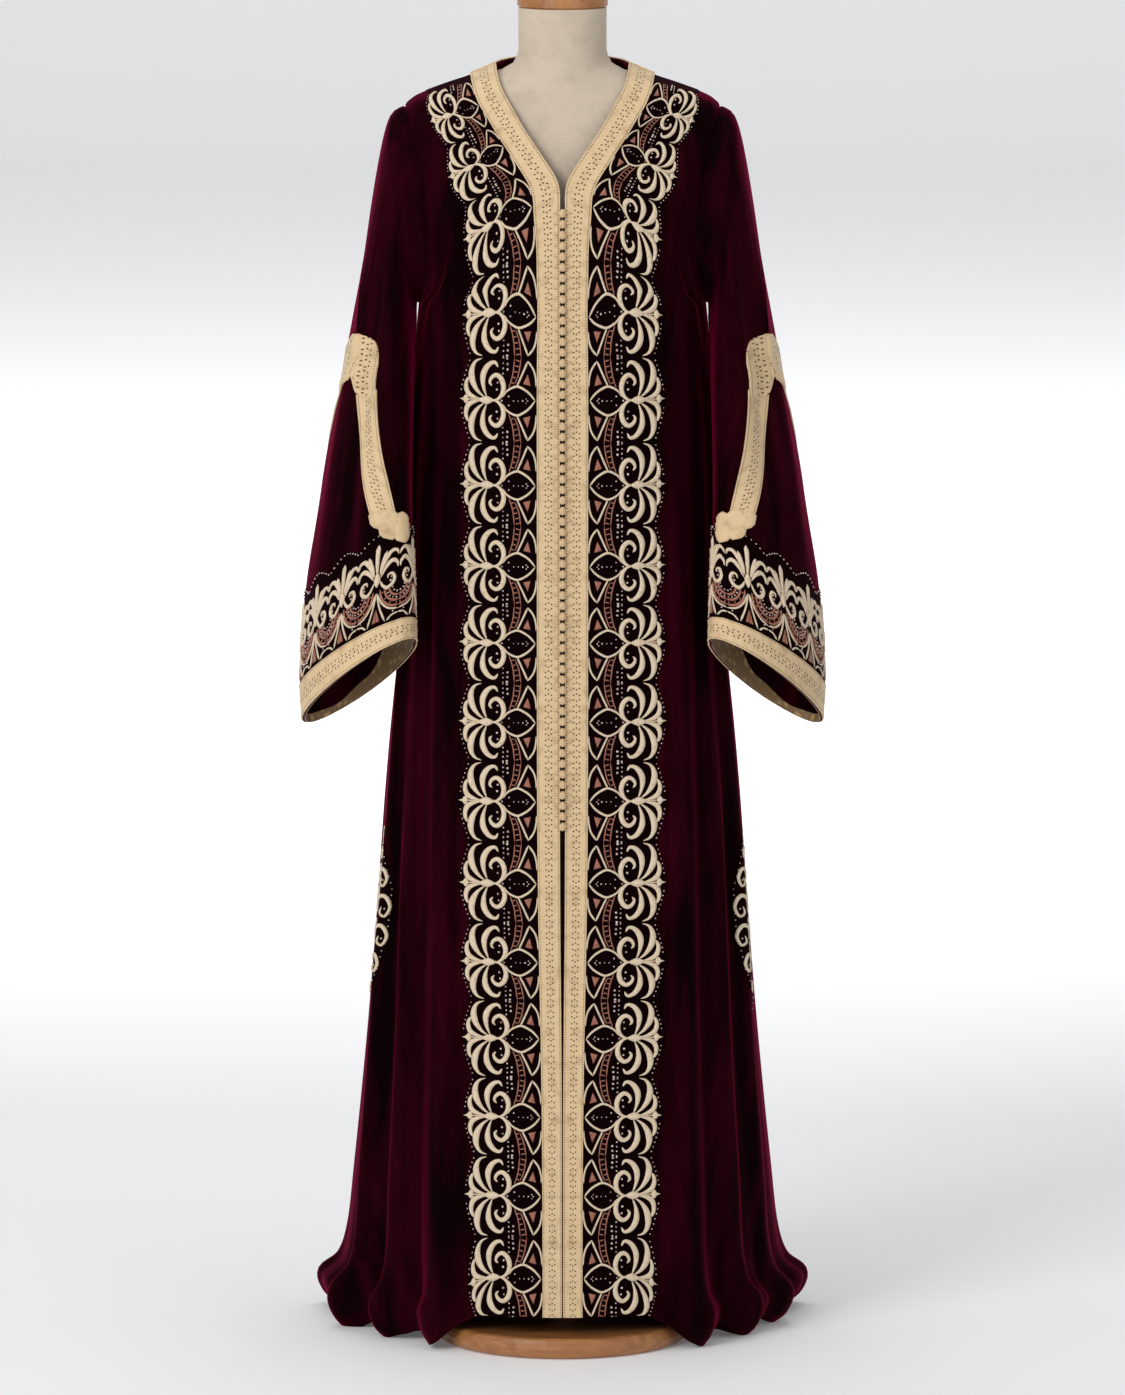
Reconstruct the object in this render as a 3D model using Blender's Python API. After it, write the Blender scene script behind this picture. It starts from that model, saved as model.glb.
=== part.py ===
"""Full-length velvet kaftan, open in front and edged with braid and raised embroidery,
standing on a limbless dress form with a turned neck cap, a pole and a round base.
Metres, +Z up, front towards -Y, origin on the floor at the centre of the base."""

import math
from collections import namedtuple

import bmesh
import bpy
import numpy as np

# Cloth thicknesses and the gaps between pieces
VELVET = 0.0016
SEAM_GAP = 0.0003
BRAID_THICKNESS = 0.0014
EMBROIDERY_THICKNESS = 0.0016
FACING_THICKNESS = 0.0010
LIFT = 0.0004
EMBROIDERY_LIFT = 0.0007
SIDE_LIFT = 0.0012
NECK_LIFT = 0.0014
NECK_DRAW = 0.085

# Dress form
BASE_RADIUS = 0.152
BASE_THICKNESS = 0.024
POLE_RADIUS = 0.015
CAP_RADIUS = 0.0535
CAP_TOP = 1.622

# Neck, armhole and front opening
NECK_POINT = 1.527
NECK_BACK = 1.534
SHOULDER_TIP = 1.478
UNDERARM = 1.243
ARMHOLE_SPREAD = math.radians(31)
OPENING_HALF = 0.003
OPENING_AT_HEM = 0.0008
OPENING_EASE = (0.28, 0.60)
HEM_LIFT = 0.042
HEM_LIFT_TOP = 0.20
HEM_LIFT_SPREAD = (math.radians(16), math.radians(33))
SHOULDER_ROWS = 10
LINE_STEPS = 240

# Widths measured along the cloth from the front edge
BRAID_AT_NECK = 0.033
BRAID_AT_FRONT = 0.027
BRAID_AT_HEM = 0.0228
NECK_EASE = (-1.40, -1.30)
HEM_EASE = (-0.75, -0.10)
BAND_STEPS = (0.030, 0.060, 0.088)
BAND_SHARE = 0.62
PALMETTE_FIRST = 0.055
PALMETTE_PITCH = 0.0965

# Edges of the embroidery in columns of the front, and the least step between its rows
BAND_INNER = 1.04
BAND_DIP = 3.30
BAND_TIP = 3.94
LEAST_ROW = 0.15

# Knotted buttons
BUTTON_TOP = 1.376
BUTTON_BOTTOM = 0.630
BUTTON_PITCH = 0.0125
BUTTON_RADIUS = 0.0034
BUTTON_FORWARD = 0.0046

# Horizontal sections of the gown: front and back are how far it reaches each way from the
# axis, centre_y is where it is widest, and the powers shape its corners.
Section = namedtuple("Section", "height half_width centre_y front back side_power depth_power fold")
BODY = [
    Section(1.5340, 0.0700, 0.000, 0.040, 0.0600, 2.20, 2.20, 0.000),
    Section(1.5270, 0.0780, 0.000, 0.046, 0.0655, 2.20, 2.20, 0.000),
    Section(1.5170, 0.1000, 0.000, 0.053, 0.0710, 2.20, 2.20, 0.000),
    Section(1.5025, 0.1420, 0.000, 0.063, 0.0790, 2.20, 2.20, 0.000),
    Section(1.4950, 0.1620, 0.000, 0.068, 0.0830, 2.20, 2.20, 0.000),
    Section(1.4880, 0.1760, 0.000, 0.072, 0.0870, 2.20, 2.20, 0.000),
    Section(1.4780, 0.1855, 0.000, 0.078, 0.0910, 2.20, 2.20, 0.000),
    Section(1.4500, 0.1870, 0.000, 0.092, 0.1000, 2.20, 2.20, 0.000),
    Section(1.4100, 0.1860, 0.000, 0.108, 0.1080, 2.25, 2.25, 0.001),
    Section(1.3600, 0.1820, 0.000, 0.121, 0.1140, 2.30, 2.30, 0.001),
    Section(1.2800, 0.1715, 0.000, 0.129, 0.1170, 2.30, 2.30, 0.002),
    Section(1.2430, 0.1702, 0.000, 0.129, 0.1155, 2.30, 2.30, 0.002),
    Section(1.2000, 0.1735, 0.010, 0.128, 0.1150, 2.30, 2.30, 0.003),
    Section(1.1650, 0.1770, 0.017, 0.127, 0.1160, 2.30, 2.30, 0.003),
    Section(1.1000, 0.1820, 0.030, 0.125, 0.1190, 2.30, 2.30, 0.004),
    Section(1.0000, 0.1880, 0.035, 0.124, 0.1240, 2.30, 2.30, 0.005),
    Section(0.8500, 0.1950, 0.030, 0.123, 0.1360, 2.30, 2.30, 0.006),
    Section(0.7030, 0.2065, 0.020, 0.124, 0.1500, 2.30, 2.30, 0.007),
    Section(0.4030, 0.2285, 0.030, 0.128, 0.1900, 2.25, 2.10, 0.010),
    Section(0.1400, 0.2550, 0.085, 0.133, 0.2580, 2.20, 1.65, 0.012),
    Section(0.1060, 0.2590, 0.105, 0.134, 0.2700, 2.20, 1.55, 0.012),
    Section(0.0700, 0.2670, 0.135, 0.1345, 0.2830, 2.20, 1.48, 0.012),
    Section(0.0550, 0.2810, 0.150, 0.135, 0.2940, 2.20, 1.45, 0.011),
    Section(0.0410, 0.2920, 0.160, 0.1355, 0.3040, 2.20, 1.42, 0.010),
    Section(0.0250, 0.2900, 0.168, 0.136, 0.3040, 2.20, 1.40, 0.009),
    Section(0.0120, 0.2810, 0.172, 0.136, 0.2980, 2.20, 1.40, 0.007),
    Section(0.0060, 0.2740, 0.175, 0.136, 0.2920, 2.20, 1.40, 0.005),
]
GOWN_ROWS = (1.16, 1.06, 0.95, 0.84, 0.73, 0.62, 0.50, 0.39, 0.28, 0.19, 0.110, 0.066, 0.042, 0.020, 0.006)

# Inner edge of the braid along the V neck, half width against height
NeckEdge = namedtuple("NeckEdge", "height half_width")
NECK_EDGE = [
    NeckEdge(1.5270, 0.0780),
    NeckEdge(1.5150, 0.0756),
    NeckEdge(1.5000, 0.0705),
    NeckEdge(1.4860, 0.0620),
    NeckEdge(1.4600, 0.0470),
    NeckEdge(1.4300, 0.0262),
    NeckEdge(1.3920, 0.0030),
]

# Long folds, each a ridge: how much of the panel's free width it takes and its relative height
Fold = namedtuple("Fold", "share height")
FRONT_FOLDS = [Fold(0.30, 1.00), Fold(0.24, 0.60), Fold(0.26, 0.85)]
BACK_FOLDS = [Fold(0.20, 0.9), Fold(0.25, 1.1), Fold(0.20, 0.7), Fold(0.23, 1.0)]
STEPS_PER_FOLD = 4
FLAT_STEPS = 2

# Rings of the sleeve: the outer and inner ends of each ring's long axis, its half depth,
# how far its front is raised, and how far the braid's two legs have parted (0 to 1; below
# zero the columns ease from even spacing into the legs)
Ring = namedtuple("Ring", "outer_x outer_y outer_z inner_x inner_y inner_z half_depth pitch legs")
SLEEVE = [
    Ring(0.2035, 0.000, 1.4655, 0.1722, 0.000, 1.226, 0.0710, 0, -1.0),
    Ring(0.2140, 0.000, 1.4300, 0.1739, -0.006, 1.200, 0.0725, 2, -0.75),
    Ring(0.2262, 0.000, 1.3600, 0.1750, -0.026, 1.165, 0.0735, 4, -0.45),
    Ring(0.2400, 0.000, 1.2750, 0.1756, -0.044, 1.130, 0.0740, 7, -0.20),
    Ring(0.2540, -0.003, 1.1900, 0.1761, -0.061, 1.085, 0.0740, 10, 0.0),
    Ring(0.2680, -0.008, 1.1150, 0.1757, -0.076, 1.045, 0.0740, 12, 0.30),
    Ring(0.2815, -0.012, 1.0400, 0.1750, -0.087, 1.010, 0.0730, 15, 0.62),
    Ring(0.2995, -0.018, 0.9300, 0.1740, -0.098, 0.965, 0.0720, 18, 1.0),
    Ring(0.3065, -0.022, 0.8650, 0.1735, -0.106, 0.925, 0.0710, 21, 1.0),
    Ring(0.3110, -0.025, 0.8000, 0.1730, -0.112, 0.886, 0.0710, 23, 1.0),
    Ring(0.3085, -0.026, 0.7500, 0.1725, -0.115, 0.854, 0.0710, 24, 1.0),
]
# Columns round the sleeve, counted from its top towards the front, that carry the braid's
# legs, and their angles in degrees where the legs meet and where they end
LegPlace = namedtuple("LegPlace", "column at_apex at_end")
LEG_PLACES = [
    LegPlace(-10, -180, -180),
    LegPlace(-3, 4, -80),
    LegPlace(-2, 42, -57),
    LegPlace(3, 46, 108),
    LegPlace(4, 90, 136),
    LegPlace(10, 180, 180),
]
SLEEVE_FOLD = 0.003
SLEEVE_FOLD_COUNT = 3
SLEEVE_FOLD_START = (-1.30, -1.05)
SLEEVE_FOLD_END = (0.78, 0.98)

# Rings of the dress form: the front power below 2.15 draws the shoulder in from the neck
FormRing = namedtuple("FormRing", "height half_width front back front_power")
FORM_RINGS = [
    FormRing(0.7200, 0.1480, 0.0900, 0.0980, 2.15),
    FormRing(0.7600, 0.1580, 0.0980, 0.1080, 2.15),
    FormRing(0.8600, 0.1660, 0.1020, 0.1160, 2.15),
    FormRing(0.9600, 0.1500, 0.0940, 0.1040, 2.15),
    FormRing(1.0600, 0.1260, 0.0880, 0.0880, 2.15),
    FormRing(1.1600, 0.1320, 0.0980, 0.0880, 2.15),
    FormRing(1.2600, 0.1450, 0.1160, 0.0940, 2.15),
    FormRing(1.3200, 0.1520, 0.1100, 0.0980, 2.15),
    FormRing(1.3800, 0.1600, 0.0960, 0.1000, 2.15),
    FormRing(1.4300, 0.1676, 0.0850, 0.0958, 2.15),
    FormRing(1.4600, 0.1674, 0.0757, 0.0881, 2.15),
    FormRing(1.4780, 0.1745, 0.0690, 0.0818, 2.15),
    FormRing(1.4880, 0.1680, 0.0655, 0.0771, 2.05),
    FormRing(1.4970, 0.1467, 0.0625, 0.0721, 1.90),
    FormRing(1.5070, 0.1173, 0.0595, 0.0667, 1.75),
    FormRing(1.5130, 0.1003, 0.0580, 0.0633, 1.70),
    FormRing(1.5220, 0.0670, 0.0560, 0.0590, 1.80),
    FormRing(1.5300, 0.0570, 0.0540, 0.0520, 1.95),
    FormRing(1.5450, 0.0520, 0.0520, 0.0520, 2.15),
    FormRing(1.5940, 0.0520, 0.0520, 0.0520, 2.15),
]
FORM_POWER = 2.15
FORM_SIDES = 24

# Side embroidery: how far it spreads each way, in columns, against height, and how many
# columns its middle lies in front of the side seam
SidePatch = namedtuple("SidePatch", "height spread")
SIDE_PATCH = [
    SidePatch(0.628, 0.25),
    SidePatch(0.600, 0.90),
    SidePatch(0.550, 2.00),
    SidePatch(0.500, 2.00),
    SidePatch(0.450, 1.60),
    SidePatch(0.385, 0.25),
]
SIDE_FORWARD = 4


def monotone_curve(place, places, values):
    """Smooth curve through a table that never overshoots its values."""
    order = np.argsort(places)
    xs = np.asarray(places, float)[order]
    ys = np.asarray(values, float)[order]
    steps = np.diff(xs)
    slopes = np.diff(ys) / steps
    tangents = np.zeros(len(xs))
    tangents[0] = slopes[0]
    tangents[-1] = slopes[-1]
    same = slopes[:-1] * slopes[1:] > 0
    total = slopes[:-1] + slopes[1:]
    tangents[1:-1][same] = (2 * slopes[:-1] * slopes[1:])[same] / total[same]
    at = np.clip(np.asarray(place, float), xs[0], xs[-1])
    cell = np.clip(np.searchsorted(xs, at) - 1, 0, len(steps) - 1)
    t = (at - xs[cell]) / steps[cell]
    rise = 3 * t**2 - 2 * t**3
    lead = (t**3 - 2 * t**2 + t) * steps[cell] * tangents[cell]
    trail = (t**3 - t**2) * steps[cell] * tangents[cell + 1]
    return ys[cell] * (1 - rise) + ys[cell + 1] * rise + lead + trail


def body(column, height):
    """One column of the gown's section table at any height."""
    heights = [section.height for section in BODY]
    return monotone_curve(height, heights, [getattr(section, column) for section in BODY])


def smooth_step(value, low, high):
    t = np.clip((value - low) / (high - low), 0, 1)
    return t * t * (3 - 2 * t)


def gown_point(angle, height):
    """Point of the smooth gown at an angle from centre front, 90 degrees being the side."""
    side = 2 / body("side_power", height)
    depth = 2 / body("depth_power", height)
    cosine = np.cos(angle)
    in_front = cosine >= 0
    x = body("half_width", height) * np.abs(np.sin(angle)) ** side
    middle = body("centre_y", height)
    reach = np.where(in_front, body("front", height) + middle, body("back", height) - middle)
    y = np.abs(cosine) ** np.where(in_front, depth, side)
    y = middle - np.where(in_front, 1, -1) * reach * y
    return np.stack([x, y, np.broadcast_to(height, x.shape)], axis=-1)


def gown_level(points):
    """Zero on the smooth gown, positive outside it."""
    x, y, z = np.moveaxis(points, -1, 0)
    middle = body("centre_y", z)
    in_front = y < middle
    reach = np.where(in_front, body("front", z) + middle, body("back", z) - middle)
    power = np.where(in_front, body("depth_power", z), body("side_power", z))
    across = (np.abs(x) / body("half_width", z)) ** body("side_power", z)
    return across + (np.abs(y - middle) / reach) ** power


def gown_normal(points):
    """Outward direction of the smooth gown, from the slope of its level."""
    step = 2e-4
    slopes = []
    for axis in range(3):
        ahead = points.copy()
        behind = points.copy()
        ahead[..., axis] += step
        behind[..., axis] -= step
        slopes.append(gown_level(ahead) - gown_level(behind))
    normal = np.stack(slopes, axis=-1)
    return normal / np.linalg.norm(normal, axis=-1, keepdims=True)


def angle_at(x, height, back):
    """Angle round the gown where it is x wide."""
    sine = np.clip(x / body("half_width", height), 0, 1) ** (body("side_power", height) / 2)
    angle = np.arcsin(np.clip(sine, 0, 1))
    return math.pi - angle if back else angle


def crest(x):
    """Height of the shoulder line, level across the neck."""
    top = [section for section in BODY if section.height >= SHOULDER_TIP]
    return np.interp(x, [section.half_width for section in top], [section.height for section in top])


def neck_edge(height):
    """Half width of the neck opening in front, then of the front opening."""
    heights = [edge.height for edge in NECK_EDGE]
    return monotone_curve(height, heights, [edge.half_width for edge in NECK_EDGE])


def armhole(turn, back):
    """Angle and height of the armhole, turn 0 at the shoulder tip and 1 under the arm."""
    middle = (SHOULDER_TIP + UNDERARM) / 2
    height = middle + (SHOULDER_TIP - UNDERARM) / 2 * math.cos(math.pi * turn)
    spread = ARMHOLE_SPREAD * math.sin(math.pi * turn)
    return (math.pi / 2 + spread if back else math.pi / 2 - spread), height


def shoulder_row(turn, back):
    """Dense line across a panel above the underarm, from its inner edge to the armhole."""
    edge_angle, edge_height = armhole(turn, back)
    outer = gown_point(np.array(edge_angle), np.array(edge_height))
    if back and turn == 0:
        return back_neck_row(outer)
    if back:
        inner_height = NECK_BACK - (NECK_BACK - UNDERARM) * turn**1.55
        inner_x = 0.0
    else:
        inner_height = NECK_POINT - (NECK_POINT - UNDERARM) * turn**1.5
        inner_x = float(neck_edge(inner_height))
    share = np.linspace(0, 1, LINE_STEPS)
    x = inner_x + (outer[0] - inner_x) * share
    drop = (crest(inner_x) - inner_height) * (1 - share) + (crest(outer[0]) - outer[2]) * share
    if turn == 0:
        height = crest(x)
        at_crest = x >= body("half_width", NECK_POINT) - 1e-6
        return gown_point(np.where(at_crest, math.pi / 2, angle_at(x, height, back)), height)
    height = crest(x) - np.maximum(drop, 0)
    return gown_point(angle_at(x, height, back), height)


def back_neck_row(tip):
    """Top edge of the back: round the neck, then along the shoulder to its tip."""
    round_neck = np.linspace(math.pi, math.pi / 2, LINE_STEPS // 2)
    height = NECK_BACK - (NECK_BACK - NECK_POINT) * smooth_step(math.pi - round_neck, 0, math.pi / 2)
    neck = gown_point(round_neck, height)
    x = np.linspace(neck[-1][0], tip[0], LINE_STEPS // 2)[1:]
    shoulder = np.stack([x, np.zeros(len(x)), crest(x)], axis=-1)
    return np.concatenate([neck, shoulder])


def gown_row(height, back):
    """Dense line across a panel below the underarm, from its inner edge to the side seam."""
    opening = OPENING_AT_HEM + (OPENING_HALF - OPENING_AT_HEM) * smooth_step(height, *OPENING_EASE)
    start = math.pi if back else float(angle_at(opening, height, False))
    angle = np.linspace(start, math.pi / 2, LINE_STEPS)
    lift = HEM_LIFT * (1 - smooth_step(angle, *HEM_LIFT_SPREAD))
    lowered = smooth_step(-height, -HEM_LIFT_TOP, 0) * lift
    return gown_point(angle, height + lowered)


def along(line, distances):
    """Points of a dense line at these distances from its start."""
    steps = np.linalg.norm(np.diff(line, axis=0), axis=1)
    travelled = np.concatenate([[0], np.cumsum(steps)])
    return np.stack([np.interp(distances, travelled, line[:, axis]) for axis in range(3)], axis=-1)


def length_of(line):
    return float(np.linalg.norm(np.diff(line, axis=0), axis=1).sum())


def fold_columns(folds):
    """Places of the columns over the free width, 0 to 1, and the height of the cloth at each."""
    places = [0.0]
    heights = [0.0]
    start = 0.0
    for fold in folds:
        for step in range(1, STEPS_PER_FOLD + 1):
            turn = step / STEPS_PER_FOLD
            places.append(start + fold.share * turn)
            heights.append(fold.height * math.sin(math.pi * turn) ** 2)
        start += fold.share
    for step in range(FLAT_STEPS):
        places.append(start + (1 - start) * (step + 1) / FLAT_STEPS)
        heights.append(0.0)
    return places, heights


def front_panel():
    """Grid of points and normals of the right front, rows down and columns outwards."""
    places, heights = fold_columns(FRONT_FOLDS)
    rows = []
    for turn in np.linspace(0, 1, SHOULDER_ROWS + 1):
        rows.append(shoulder_row(float(turn), False))
    for height in GOWN_ROWS:
        rows.append(gown_row(height, False))
    points = []
    for line in rows:
        total = length_of(line)
        start = -line[0][2]
        braid = BRAID_AT_NECK + (BRAID_AT_FRONT - BRAID_AT_NECK) * float(smooth_step(start, *NECK_EASE))
        braid += (BRAID_AT_HEM - BRAID_AT_FRONT) * float(smooth_step(start, *HEM_EASE))
        scale = min(1.0, BAND_SHARE * (total - braid) / BAND_STEPS[-1])
        fixed = [0.0, braid] + [braid + step * scale for step in BAND_STEPS]
        free = total - fixed[-1]
        distances = fixed + [fixed[-1] + free * place for place in places[1:]]
        points.append(along(line, distances))
    points = np.array(points)
    normals = gown_normal(points)
    raised = np.array([0.0] * (len(BAND_STEPS) + 2) + heights[1:])
    points = points + normals * (body("fold", points[..., 2]) * raised)[..., None]
    points[0, :, 1] -= SEAM_GAP / 2
    points[SHOULDER_ROWS:, -1, 1] -= SEAM_GAP / 2
    return points, normals


def back_panel():
    """Grid of points and normals of the right half of the back, columns from its centre out."""
    neck_columns = 5
    places, heights = fold_columns(BACK_FOLDS)
    count = len(places)
    tip = gown_point(np.array(math.pi / 2), np.array(SHOULDER_TIP))
    top = back_neck_row(tip)
    neck_length = length_of(top[:LINE_STEPS // 2])
    top_length = length_of(top)
    round_neck = [neck_length * column / neck_columns for column in range(neck_columns + 1)]
    collar = neck_length + BRAID_AT_NECK
    rest = np.linspace(collar, top_length, count - neck_columns - 1)
    top_shares = np.array(round_neck + list(rest)) / top_length
    points = []
    rows = [shoulder_row(float(turn), True) for turn in np.linspace(0, 1, SHOULDER_ROWS + 1)]
    rows += [gown_row(height, True) for height in GOWN_ROWS]
    for number, line in enumerate(rows):
        settled = smooth_step(number, 0, SHOULDER_ROWS)
        shares = top_shares * (1 - settled) + np.array(places) * settled
        points.append(along(line, shares * length_of(line)))
    points = np.array(points)
    normals = gown_normal(points)
    raised = np.array(heights)
    points = points + normals * (body("fold", points[..., 2]) * raised)[..., None]
    points[0, neck_columns:, 1] += SEAM_GAP / 2
    points[SHOULDER_ROWS:, -1, 1] += SEAM_GAP / 2
    return points, normals, neck_columns


def mirrored(grid):
    """The same grid on the other side of the body."""
    return grid * np.array([-1, 1, 1])


def leg_angles(ring, columns):
    """Angles of the sleeve's columns at a ring, in radians from its top towards its front."""
    parted = max(ring.legs, 0)
    angles = [place.at_apex + (place.at_end - place.at_apex) * parted for place in LEG_PLACES]
    drawn = np.interp(columns, [place.column for place in LEG_PLACES], angles)
    even = columns * 180 / SHOULDER_ROWS
    return np.radians(drawn + (even - drawn) * max(-ring.legs, 0))


def ring_points(ring, columns):
    """Points of one ring of the sleeve."""
    outer = np.array([ring.outer_x, ring.outer_y, ring.outer_z])
    inner = np.array([ring.inner_x, ring.inner_y, ring.inner_z])
    centre = (outer + inner) / 2
    half_long = np.linalg.norm(outer - inner) / 2
    long_axis = (outer - inner) / (2 * half_long)
    pitch = math.radians(ring.pitch)
    forward = np.array([0, -math.cos(pitch), math.sin(pitch)])
    angle = leg_angles(ring, columns)
    free = smooth_step(-ring.outer_z, *SLEEVE_FOLD_START) * smooth_step(ring.outer_z, *SLEEVE_FOLD_END)
    swell = 1 + SLEEVE_FOLD * free * np.cos(SLEEVE_FOLD_COUNT * angle) / ring.half_depth
    along_axis = (half_long * swell * np.cos(angle))[:, None] * long_axis
    across_axis = (ring.half_depth * swell * np.sin(angle))[:, None] * forward
    return centre + along_axis + across_axis


def sleeve_grid(front, back):
    """Grid of the right sleeve, rings downwards, columns from the back of the underarm round."""
    columns = np.arange(-SHOULDER_ROWS, SHOULDER_ROWS)
    edge = []
    for column in columns:
        turn = abs(int(column))
        edge.append(front[turn, -1] if column >= 0 else back[turn, -1])
    edge = np.array(edge)
    middle = edge.mean(axis=0)
    inwards = middle - edge
    inwards[:, 0] = 0
    inwards /= np.linalg.norm(inwards, axis=1, keepdims=True)
    outwards = np.array([1.0, 0, 0])
    start = edge + inwards * (VELVET + SEAM_GAP) - outwards * VELVET / 2
    rings = [start, edge + inwards * (VELVET / 2 + SEAM_GAP) + outwards * 2 * VELVET]
    rings += [ring_points(ring, columns) for ring in SLEEVE]
    return np.array(rings)


def tube_normals(rings):
    """Outward directions of a closed tube given as rings downwards."""
    round_way = np.roll(rings, -1, axis=1) - np.roll(rings, 1, axis=1)
    down_way = np.gradient(rings, axis=0)
    normal = np.cross(round_way, down_way)
    outwards = rings - rings.mean(axis=1, keepdims=True)
    normal *= np.sign((normal * outwards).sum(axis=-1, keepdims=True))
    return normal / np.linalg.norm(normal, axis=-1, keepdims=True)


def material(name, colour, roughness):
    """Principled material with the piece's own colour."""
    made = bpy.data.materials.get(name) or bpy.data.materials.new(name)
    made.use_nodes = True
    shader = made.node_tree.nodes["Principled BSDF"]
    shader.inputs["Base Color"].default_value = (*colour, 1)
    shader.inputs["Roughness"].default_value = roughness
    shader.inputs["Metallic"].default_value = 0.0
    return made


VELVET_MATERIAL = material("wine_velvet", (0.045, 0.002, 0.012), 0.8)
BRAID_MATERIAL = material("gold_braid", (0.62, 0.47, 0.27), 0.6)
EMBROIDERY_MATERIAL = material("cream_embroidery", (0.66, 0.55, 0.42), 0.65)
LINEN_MATERIAL = material("linen", (0.60, 0.52, 0.40), 0.9)
WOOD_MATERIAL = material("beech_wood", (0.36, 0.16, 0.05), 0.4)


def add_object(name, vertices, faces, finish, smooth_angle):
    """Object from a closed mesh, with its faces turned outwards."""
    mesh = bpy.data.meshes.new(name)
    mesh.from_pydata([tuple(map(float, vertex)) for vertex in vertices], [], faces)
    work = bmesh.new()
    work.from_mesh(mesh)
    bmesh.ops.remove_doubles(work, verts=work.verts, dist=1e-7)
    bmesh.ops.recalc_face_normals(work, faces=work.faces)
    work.to_mesh(mesh)
    work.free()
    mesh.shade_smooth()
    mesh.set_sharp_from_angle(angle=math.radians(smooth_angle))
    mesh.materials.append(finish)
    made = bpy.data.objects.new(name, mesh)
    bpy.context.scene.collection.objects.link(made)
    return made


def cell_faces(corners, flip):
    """Two triangles of a cell, always cut along the same diagonal."""
    a, b, c, d = corners
    if flip:
        return [(a, c, b), (a, d, c)]
    return [(a, b, c), (a, c, d)]


def wall(name, points, normals, low, high, finish, ring=False):
    """Cloth wall between two offsets of a grid; a ring grid closes on itself."""
    rows, columns = points.shape[:2]
    outer = (points + normals * high).reshape(-1, 3)
    inner = (points + normals * low).reshape(-1, 3)
    count = rows * columns
    faces = []
    last = columns if ring else columns - 1

    def index(row, column):
        return row * columns + column % columns

    for row in range(rows - 1):
        for column in range(last):
            corners = (
                index(row, column),
                index(row + 1, column),
                index(row + 1, column + 1),
                index(row, column + 1),
            )
            faces += cell_faces(corners, False)
            faces += [tuple(count + corner for corner in face) for face in cell_faces(corners, True)]
    rims = [[index(0, column) for column in range(last + 1)]]
    rims.append([index(rows - 1, column) for column in range(last, -1, -1)])
    if not ring:
        rims.append([index(row, 0) for row in range(rows - 1, -1, -1)])
        rims.append([index(row, columns - 1) for row in range(rows)])
    for rim in rims:
        for first, second in zip(rim[:-1], rim[1:]):
            faces.append((first, second, count + second))
            faces.append((first, count + second, count + first))
    return add_object(name, np.concatenate([outer, inner]), faces, finish, 50)


def turned(name, profile, sides, finish):
    """Solid of revolution from (radius, height) points, bottom to top, closed on the axis."""
    vertices = [(0, 0, profile[0][1])]
    for radius, height in profile:
        for side in range(sides):
            angle = 2 * math.pi * side / sides
            vertices.append((radius * math.cos(angle), radius * math.sin(angle), height))
    vertices.append((0, 0, profile[-1][1]))
    return add_object(name, vertices, lathe_faces(len(profile), sides), finish, 35)


def lathe_faces(rings, sides):
    """Faces of stacked rings with a centre point below the first and above the last."""
    faces = []
    top = 1 + rings * sides
    for side in range(sides):
        after = (side + 1) % sides
        faces.append((0, 1 + after, 1 + side))
        for ring in range(rings - 1):
            low = 1 + ring * sides
            high = low + sides
            faces.append((low + side, low + after, high + after))
            faces.append((low + side, high + after, high + side))
        last = 1 + (rings - 1) * sides
        faces.append((top, last + side, last + after))
    return faces


def dress_form():
    """Linen torso, wooden cap, pole and base, each with a small gap to the next."""
    vertices = [(0, 0, FORM_RINGS[0].height)]
    for ring in FORM_RINGS:
        for side in range(FORM_SIDES):
            angle = 2 * math.pi * side / FORM_SIDES
            sine = math.sin(angle)
            cosine = math.cos(angle)
            depth = ring.front if cosine > 0 else ring.back
            power = 2 / (ring.front_power if cosine > 0 else FORM_POWER)
            x = ring.half_width * math.copysign(abs(sine) ** power, sine)
            y = -depth * math.copysign(abs(cosine) ** power, cosine)
            vertices.append((x, y, ring.height))
    vertices.append((0, 0, FORM_RINGS[-1].height))
    faces = lathe_faces(len(FORM_RINGS), FORM_SIDES)
    add_object("form_torso", vertices, faces, LINEN_MATERIAL, 40)
    cap_bottom = FORM_RINGS[-1].height + SEAM_GAP
    cap_profile = [
        (CAP_RADIUS - 0.002, cap_bottom),
        (CAP_RADIUS, cap_bottom + 0.002),
        (CAP_RADIUS, cap_bottom + 0.012),
        (CAP_RADIUS - 0.004, cap_bottom + 0.020),
        (CAP_RADIUS - 0.018, CAP_TOP),
    ]
    turned("form_cap", cap_profile, 32, WOOD_MATERIAL)
    pole_profile = [
        (POLE_RADIUS, BASE_THICKNESS + SEAM_GAP),
        (POLE_RADIUS, FORM_RINGS[0].height - SEAM_GAP),
    ]
    turned("form_pole", pole_profile, 20, WOOD_MATERIAL)
    edge = BASE_THICKNESS / 2
    rolled = edge * 0.6
    base_profile = [(BASE_RADIUS - rolled, 0.0)]
    for step in range(1, 6):
        turn = math.radians(-90 + 30 * step)
        out = BASE_RADIUS - rolled + rolled * math.cos(turn)
        base_profile.append((out, edge + edge * math.sin(turn)))
    base_profile.append((BASE_RADIUS - rolled, BASE_THICKNESS))
    turned("form_base", base_profile, 48, WOOD_MATERIAL)


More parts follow.
